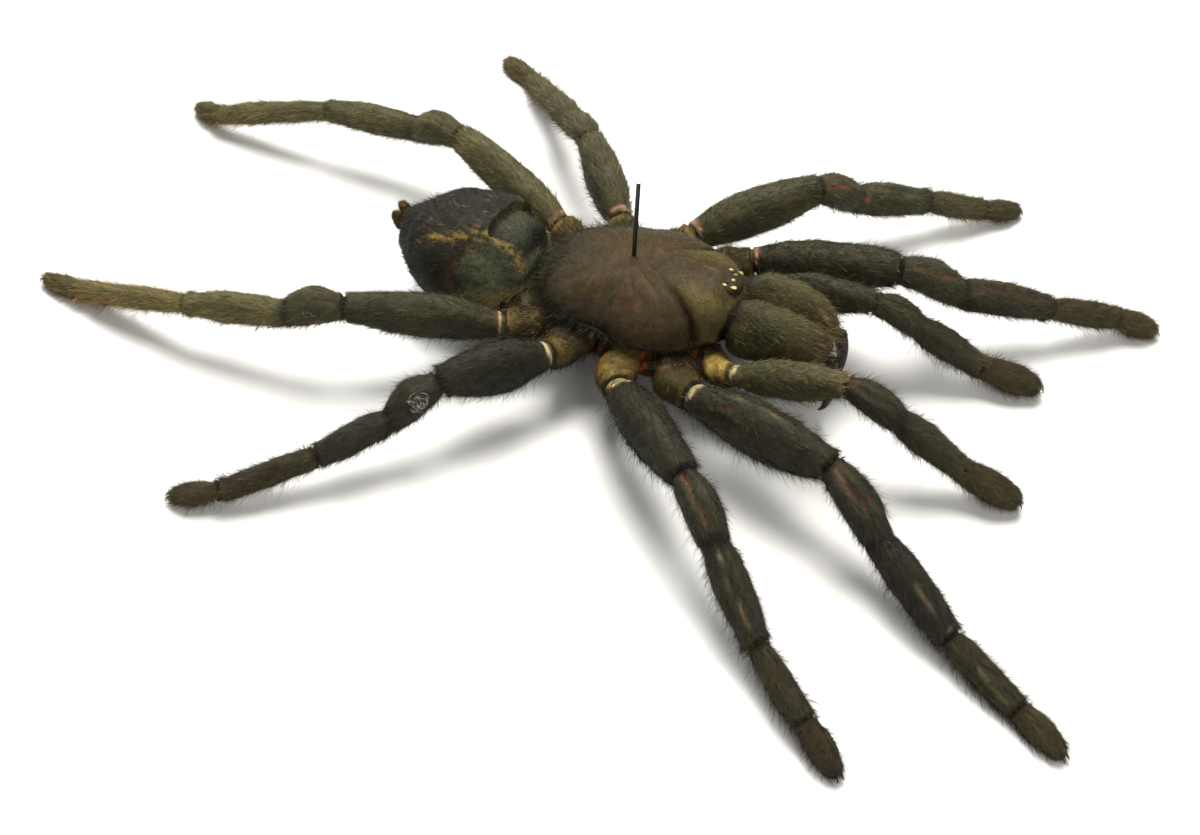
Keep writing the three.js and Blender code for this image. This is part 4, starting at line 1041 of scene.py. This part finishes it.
def build_abdomen():
    """The shrivelled abdomen and its spinnerets."""
    rings = abdomen_grid()
    px, py, pz = rings[..., 0], rings[..., 1], rings[..., 2]

    def spot(centre, width):
        dx, dy, dz = px - centre[0], py - centre[1], pz - centre[2]
        return np.exp(-((dx**2 + dy**2 + dz**2) / width**2))

    marks = {name: ridge(rings, *line) for name, line in ABDOMEN_LINES.items()}
    lip, streak, tail, flap, rim = (marks[name][0] for name in ("lip", "streak", "tail", "flap", "rim"))
    fold, beside_fold = marks["fold"]
    fold = fold * smooth(-5.2, -3.2, py)
    step = smooth(-0.12, 0.16, beside_fold)
    lobe, waist = spot((-23.0, -7.6, 16.9), 4.6), spot((-16.6, 1.6, 17.2), 2.6)
    push = (0.5 * fold * (1 - step) - 1.0 * fold * step + 0.25 * streak + 0.25 * tail + 0.5 * flap - 0.9 * lobe
            - 0.75 * rim - 0.9 * waist - 1.5 * spot((-37, 4.5, 19), 4.5) - 0.5 * spot((-29, -8, 20), 3)
            + 0.7 * lumps(rings, 6, 71) + 0.32 * lumps(rings, 2.4, 72) + 0.12 * lumps(rings, 0.9, 73))
    rings = swollen(rings, push)

    rear = smooth(-28, -35, px)
    low_front = smooth(-28, -23, px) * smooth(15.5, 12, pz)
    fore_plate = fold**0.3 * step * smooth(-4, 0, py) * smooth(17, 19, pz)
    strands = smooth(-0.14, 0.14, lumps(np.stack([px / 1.9, py / 0.36, pz / 0.36], -1), 1, 76))
    flecks = (smooth(0.4, 0.55, lumps(rings * np.array([0.6, 1, 1]), 0.5, 75)) * smooth(19, 20.5, pz)
              * smooth(-22, -25, px) * smooth(-38, -34, px))
    gold = 1.5 * streak + 1.0 * tail + 0.9 * spot((-25.5, -4.4, 20.9), 1.8) + 0.3 * spot((-34, -5, 19), 2)
    gold = (np.clip(gold, 0, 1) * strands + 0.8 * lip * smooth(-0.3, 0.2, lumps(rings, 1.2, 79)) * (1 - step)
            + 0.32 * flecks)
    gold = np.clip(gold, 0, 1)
    shadow = bump(beside_fold, 0.6, 0.5) * fold * smooth(-4.5, -3, py)
    tint = painted(
        rings, srgb(36, 35, 30),
        (srgb(104, 110, 80), np.clip(0.5 * lobe + 1.1 * low_front, 0, 1)),
        (srgb(66, 70, 54), np.clip(0.75 * fore_plate + 0.9 * flap, 0, 1)),
        (srgb(34, 31, 27), 0.7 * rear),
        (srgb(92, 62, 34), 0.6 * rim * smooth(-0.3, 0.3, lumps(rings, 1.3, 80))),
        (srgb(140, 116, 58), 0.8 * gold),
        # painted shade: black in the fold's shadow and in the hollow at the waist
        (BLACK * 0.6, np.clip(0.9 * shadow + 0.8 * waist, 0, 1)))
    add_skin("abdomen_skin", rings, tint, ABDOMEN_SKIN, ["abdomen"])

    coat = Coat("abdomen_hair", "abdomen")
    flow = laid(np.array([-1, 0, -0.25]), rings)
    tone = (0.15 + 0.12 * lobe + 0.72 * low_front + 0.27 * fore_plate + 0.36 * flap - 0.03 * rear
            - 0.1 * shadow + 0.06 * lumps(rings, 3, 74))
    keep = 1 - 0.7 * np.clip(gold + shadow, 0, 1)
    coat.grow(rings, 14 * keep, 0.75, 18, tone, 0.065, 1, 0.08, jitter=0.3, flow=flow, lock=(1.2, 0.5))
    coat.grow(rings, 4.5 * keep, 1.1, 30, tone + 0.04, 0.05, 2, 0.12, jitter=0.35, flow=flow, lock=(1.2, 0.5))
    coat.grow(rings, 12 * gold, 1.1, 14, 0.79, 0.05, 2, 0.08, jitter=0.3, flow=flow, lock=(1, 0.4))
    coat.grow(rings, 6 * low_front, 2.2, 14, 0.66, 0.055, 3, 0.08, flow=flow)
    coat.grow(rings, 1.3 * (rear + 0.3), 1.5, 42, 0.14, 0.05, 3, 0.1, flow=flow)
    coat.dust(rings, 0.1 * smooth(14, 16, pz))
    coat.finish()

    for side_name, side in SIDES:
        path = [(-40.8, side * 1.25, 14.8), (-41.3, side * 1.28, 15.7), (-41.75, side * 1.3, 16.6),
                (-42.1, side * 1.34, 17.4)]
        rings = tube(path, [1.1, 1.02, 0.86, 0.5], 18, 26)
        rings = swollen(rings, 0.06 * np.sin(np.linspace(0, 18, 26))[:, None])
        tint = painted(rings, srgb(56, 40, 16), (srgb(98, 72, 28), smooth(-0.2, 0.6, lumps(rings, 0.9, 81))))
        add_skin(f"{side_name}_spinneret_skin", rings, tint, ABDOMEN_SKIN, [f"{side_name}_spinneret"])
        coat = Coat(f"{side_name}_spinneret_hair", "spinneret")
        coat.grow(rings, 22, 0.8, 32, 0.42, 0.055, 2, 0.12, 0.5)
        coat.finish()


# ---------------------------------------------------------------- underside, waist, pin and finds

# The soft skin between the leg bases, from the palp back: x, y, half length, half width, and how orange it is
WEBS = [(13.4, 8.2, 2.2, 2.8, 1), (6.6, 9.9, 2.5, 3.8, 1), (-0.9, 9.4, 2.5, 3.4, 0.3), (-9.0, 8.2, 3.0, 3.4, 0.15),
        (-15.4, 6.6, 5.4, 4.4, 0)]
# Orange skin that shows under the shield: x and how far it reaches
FLAMES = ((6.2, 1.1), (12.4, 1.2), (-1.6, 0.8), (-7.2, 0.7))


def build_underside():
    plate = ball((0.8, 0, 6.9), (10.5, 6.0, 0.75), 34, 40)
    plate = plate + 0.05 * lumps(plate, 1.2, 91)[..., None]
    tint = painted(plate, SOOT, (BROWN, smooth(-0.2, 0.6, lumps(plate, 3, 92))))
    add_skin("sternum_skin", plate, tint, SHIELD_SKIN, ["sternum"])
    lip = ball((13.2, 0, 6.8), (1.5, 1.8, 0.42), 14, 24)
    add_skin("labium_skin", lip, BROWN, SHIELD_SKIN, ["labium"])
    coat = Coat("sternum_hair", "shield")
    coat.grow(plate, 9 * smooth(0, -0.4, grid_frame(plate)[1][..., 2]), 1.4, 40, 0.28, 0.07)
    coat.finish()

    # the soft wall between the shield, the leg bases and the breastplate
    wall = ball((1.0, 0, 11.2), (15.2, 9.0, 3.3), 60, 64)
    wall[..., 1] *= 1 + 0.12 * bump(wall[..., 0], 0, 9)
    creases = lumps(wall * np.array([1, 1, 0.35]), 1.8, 93)
    wall = swollen(wall, 0.25 * creases + 0.1 * lumps(wall, 0.8, 94))
    flame = np.clip(sum(bump(wall[..., 0], x, width) for x, width in FLAMES), 0, 1)
    tint = painted(wall, srgb(34, 25, 17), (ORANGE * 0.6, 0.5 * flame * smooth(8, 10, wall[..., 2])),
                   (CREAM * 0.3, 0.5 * smooth(0.3, 0.7, creases) * smooth(9, 11, wall[..., 2])))
    add_skin("body_wall", wall, tint, JOINT_SKIN)

    for side_name, side in SIDES:
        coat = Coat(f"{side_name}_base_tufts", "joint_skin")
        for k, (x, y, long, wide, orange) in enumerate(WEBS):
            web = ball((x, side * y, 10.9), (long, wide, 2.1), 26, 32)
            folds = lumps(web * np.array([1, 0.5, 1]), 1.1, 95 + k)
            web = swollen(web, 0.32 * folds)
            lit = bump(web[..., 0], x - 1.0, 0.75) * smooth(10.6, 11.6, web[..., 2]) * smooth(-0.4, 0.2, folds)
            tint = painted(web, srgb(36, 28, 19), (OLIVE * 0.55, smooth(0.0, 0.6, folds)),
                           (ORANGE * 0.9, orange * lit))
            add_skin(f"{side_name}_base_web_{k + 1}", web, tint, JOINT_SKIN)
            tufts = (5 + 6 * (k > 1)) * smooth(10.4, 11.4, web[..., 2]) * (1 - orange * lit)
            coat.grow(web, tufts, 1.5, 35, 0.14, brown=0.6)
        coat.finish()

    waist = tube([(-11.5, 0, 12), (-13.5, 0, 11.9), (-16.6, 0, 12)], [1.6, 1.25, 1.5], 24, 22)
    waist = swollen(waist, 0.08 * np.sin(np.linspace(0, 26, 22))[:, None])
    add_skin("pedicel_skin", waist, BROWN, JOINT_SKIN, ["pedicel"])


def build_pin():
    """A pointed shaft in black enamel, with bare steel on its cut end."""
    z = np.array([PIN_BOTTOM, PIN_BOTTOM + 0.5, PIN_BOTTOM + 2, PIN_BOTTOM + 5, 12, 20, 30,
                  PIN_TOP - 0.1, PIN_TOP - 0.02, PIN_TOP])[:, None]
    r = np.array([0.03, 0.08, 0.2, *[PIN_RADIUS] * 5, 0.335, 0.3])[:, None]
    theta = circle(24)
    rings = np.stack(np.broadcast_arrays(PIN_X + r * np.cos(theta), r * np.sin(theta), z), -1)
    add_skin("insect_pin_shaft", rings, BLACK, PIN_ENAMEL, ["insect_pin"])
    cut = np.stack(np.broadcast_arrays(PIN_X + PIN_CUT_RADIUS * np.cos(theta), PIN_CUT_RADIUS * np.sin(theta),
                                       PIN_TOP), -1)
    cut = np.stack([cut - 0.05 * UP, cut + 0.02 * UP, (cut - cut.mean(0)) * 0.9 + cut.mean(0) + 0.03 * UP])
    add_skin("insect_pin_cut_end", cut, CREAM, CUT_STEEL)


# Where lint has caught: limb, part, fraction of its length, height above it, number of fibres, size of the tangle
TANGLES = [("right_leg_3", 3, 0.45, 2.3, 70, 1.9), ("right_leg_4", 3, 0.5, 2.5, 18, 1.2)]


def build_lint():
    """A tangle of pale fibres caught on the third right leg, and a smaller one on the fourth."""
    coat = Coat("lint_and_dust", "limb")
    flat = unit(np.cross(TOWARDS_CAMERA, UP))
    upward = np.cross(flat, TOWARDS_CAMERA)
    for limb, index, share, lift, count, size in TANGLES:
        part = limb_parts(limb)[index]
        centre = part["start"] + (part["end"] - part["start"]) * share + np.array([0.3, -0.8, 0.9]) * lift
        for _ in range(count):
            radius, start, sweep = size * rng.uniform(0.3, 0.75), rng.uniform(0, 6.3), rng.uniform(2.5, 6)
            middle = centre + rng.normal(0, 0.2 * size, 3)
            first, second = (unit(way + rng.normal(0, 0.45, 3)) for way in (flat, upward))
            turn = start + np.linspace(0, sweep, 11)[:, None]
            loop = middle + radius * (first * np.cos(turn) + second * np.sin(turn) * rng.uniform(0.5, 1.2))
            loop = loop + rng.normal(0, 0.05, loop.shape)
            side = unit(np.cross(loop[5] - loop[4], TOWARDS_CAMERA))
            width, tone = np.array([rng.uniform(0.028, 0.04)]), np.array([LINT])
            coat.add(loop[:1], [q[None] for q in loop[1:]], width, side, tone)
    coat.finish()


# ---------------------------------------------------------------- room, light and camera


def build_room():
    bpy.ops.mesh.primitive_plane_add(size=4, location=(0, 0, 0))
    floor = bpy.context.object
    floor.name = "floor"
    floor.data.materials.append(Look("floor_paper").finish({"Base Color": (0.88, 0.88, 0.87, 1), "Roughness": 0.9}))
    scene = bpy.context.scene
    scene.world = bpy.data.worlds.new("studio")
    scene.world.use_nodes = True
    sky = scene.world.node_tree.nodes["Background"].inputs
    sky["Color"].default_value, sky["Strength"].default_value = (1.0, 0.99, 0.96, 1), 0.22
    # name, place and size in metres, power in watts, colour
    lights = [("softbox_above", (-0.05, 0.2, 0.55), 0.3, 5.9, (1, 0.98, 0.93)),
              ("softbox_front", (0.4, -0.35, 0.4), 0.3, 1.5, (1, 0.97, 0.92)),
              ("softbox_left", (-0.4, 0.25, 0.3), 0.3, 1.5, (1, 0.99, 0.96))]
    for name, place, size, power, colour in lights:
        data = bpy.data.lights.new(name, "AREA")
        data.energy, data.size, data.color = power, size, colour
        lamp = bpy.data.objects.new(name, data)
        lamp.location = place
        lamp.rotation_euler = (Vector((0, 0, 0.01)) - Vector(place)).to_track_quat("-Z", "Y").to_euler()
        scene.collection.objects.link(lamp)
    scene.view_settings.view_transform = "Standard"


def build_camera():
    data = bpy.data.cameras.new("camera")
    data.sensor_fit = "HORIZONTAL"
    data.sensor_width, data.lens = 36, LENS
    data.clip_start = 0.005
    camera = bpy.data.objects.new("camera", data)
    right, up = Vector(CAMERA_RIGHT), Vector(CAMERA_UP)
    back = right.cross(up).normalized()
    up = back.cross(right)
    place = Vector((CAMERA + ANIMAL_SHIFT) * MM)
    camera.matrix_world = Matrix.Translation(place) @ Matrix((right, up, back)).transposed().to_4x4()
    bpy.context.scene.collection.objects.link(camera)
    bpy.context.scene.camera = camera


build_camera()
build_room()
for limb_name in POSTURE:
    build_limb(limb_name)
build_shield()
build_eyes()
for jaw_side in SIDES:
    build_jaw(*jaw_side)
build_abdomen()
build_underside()
build_pin()
build_lint()
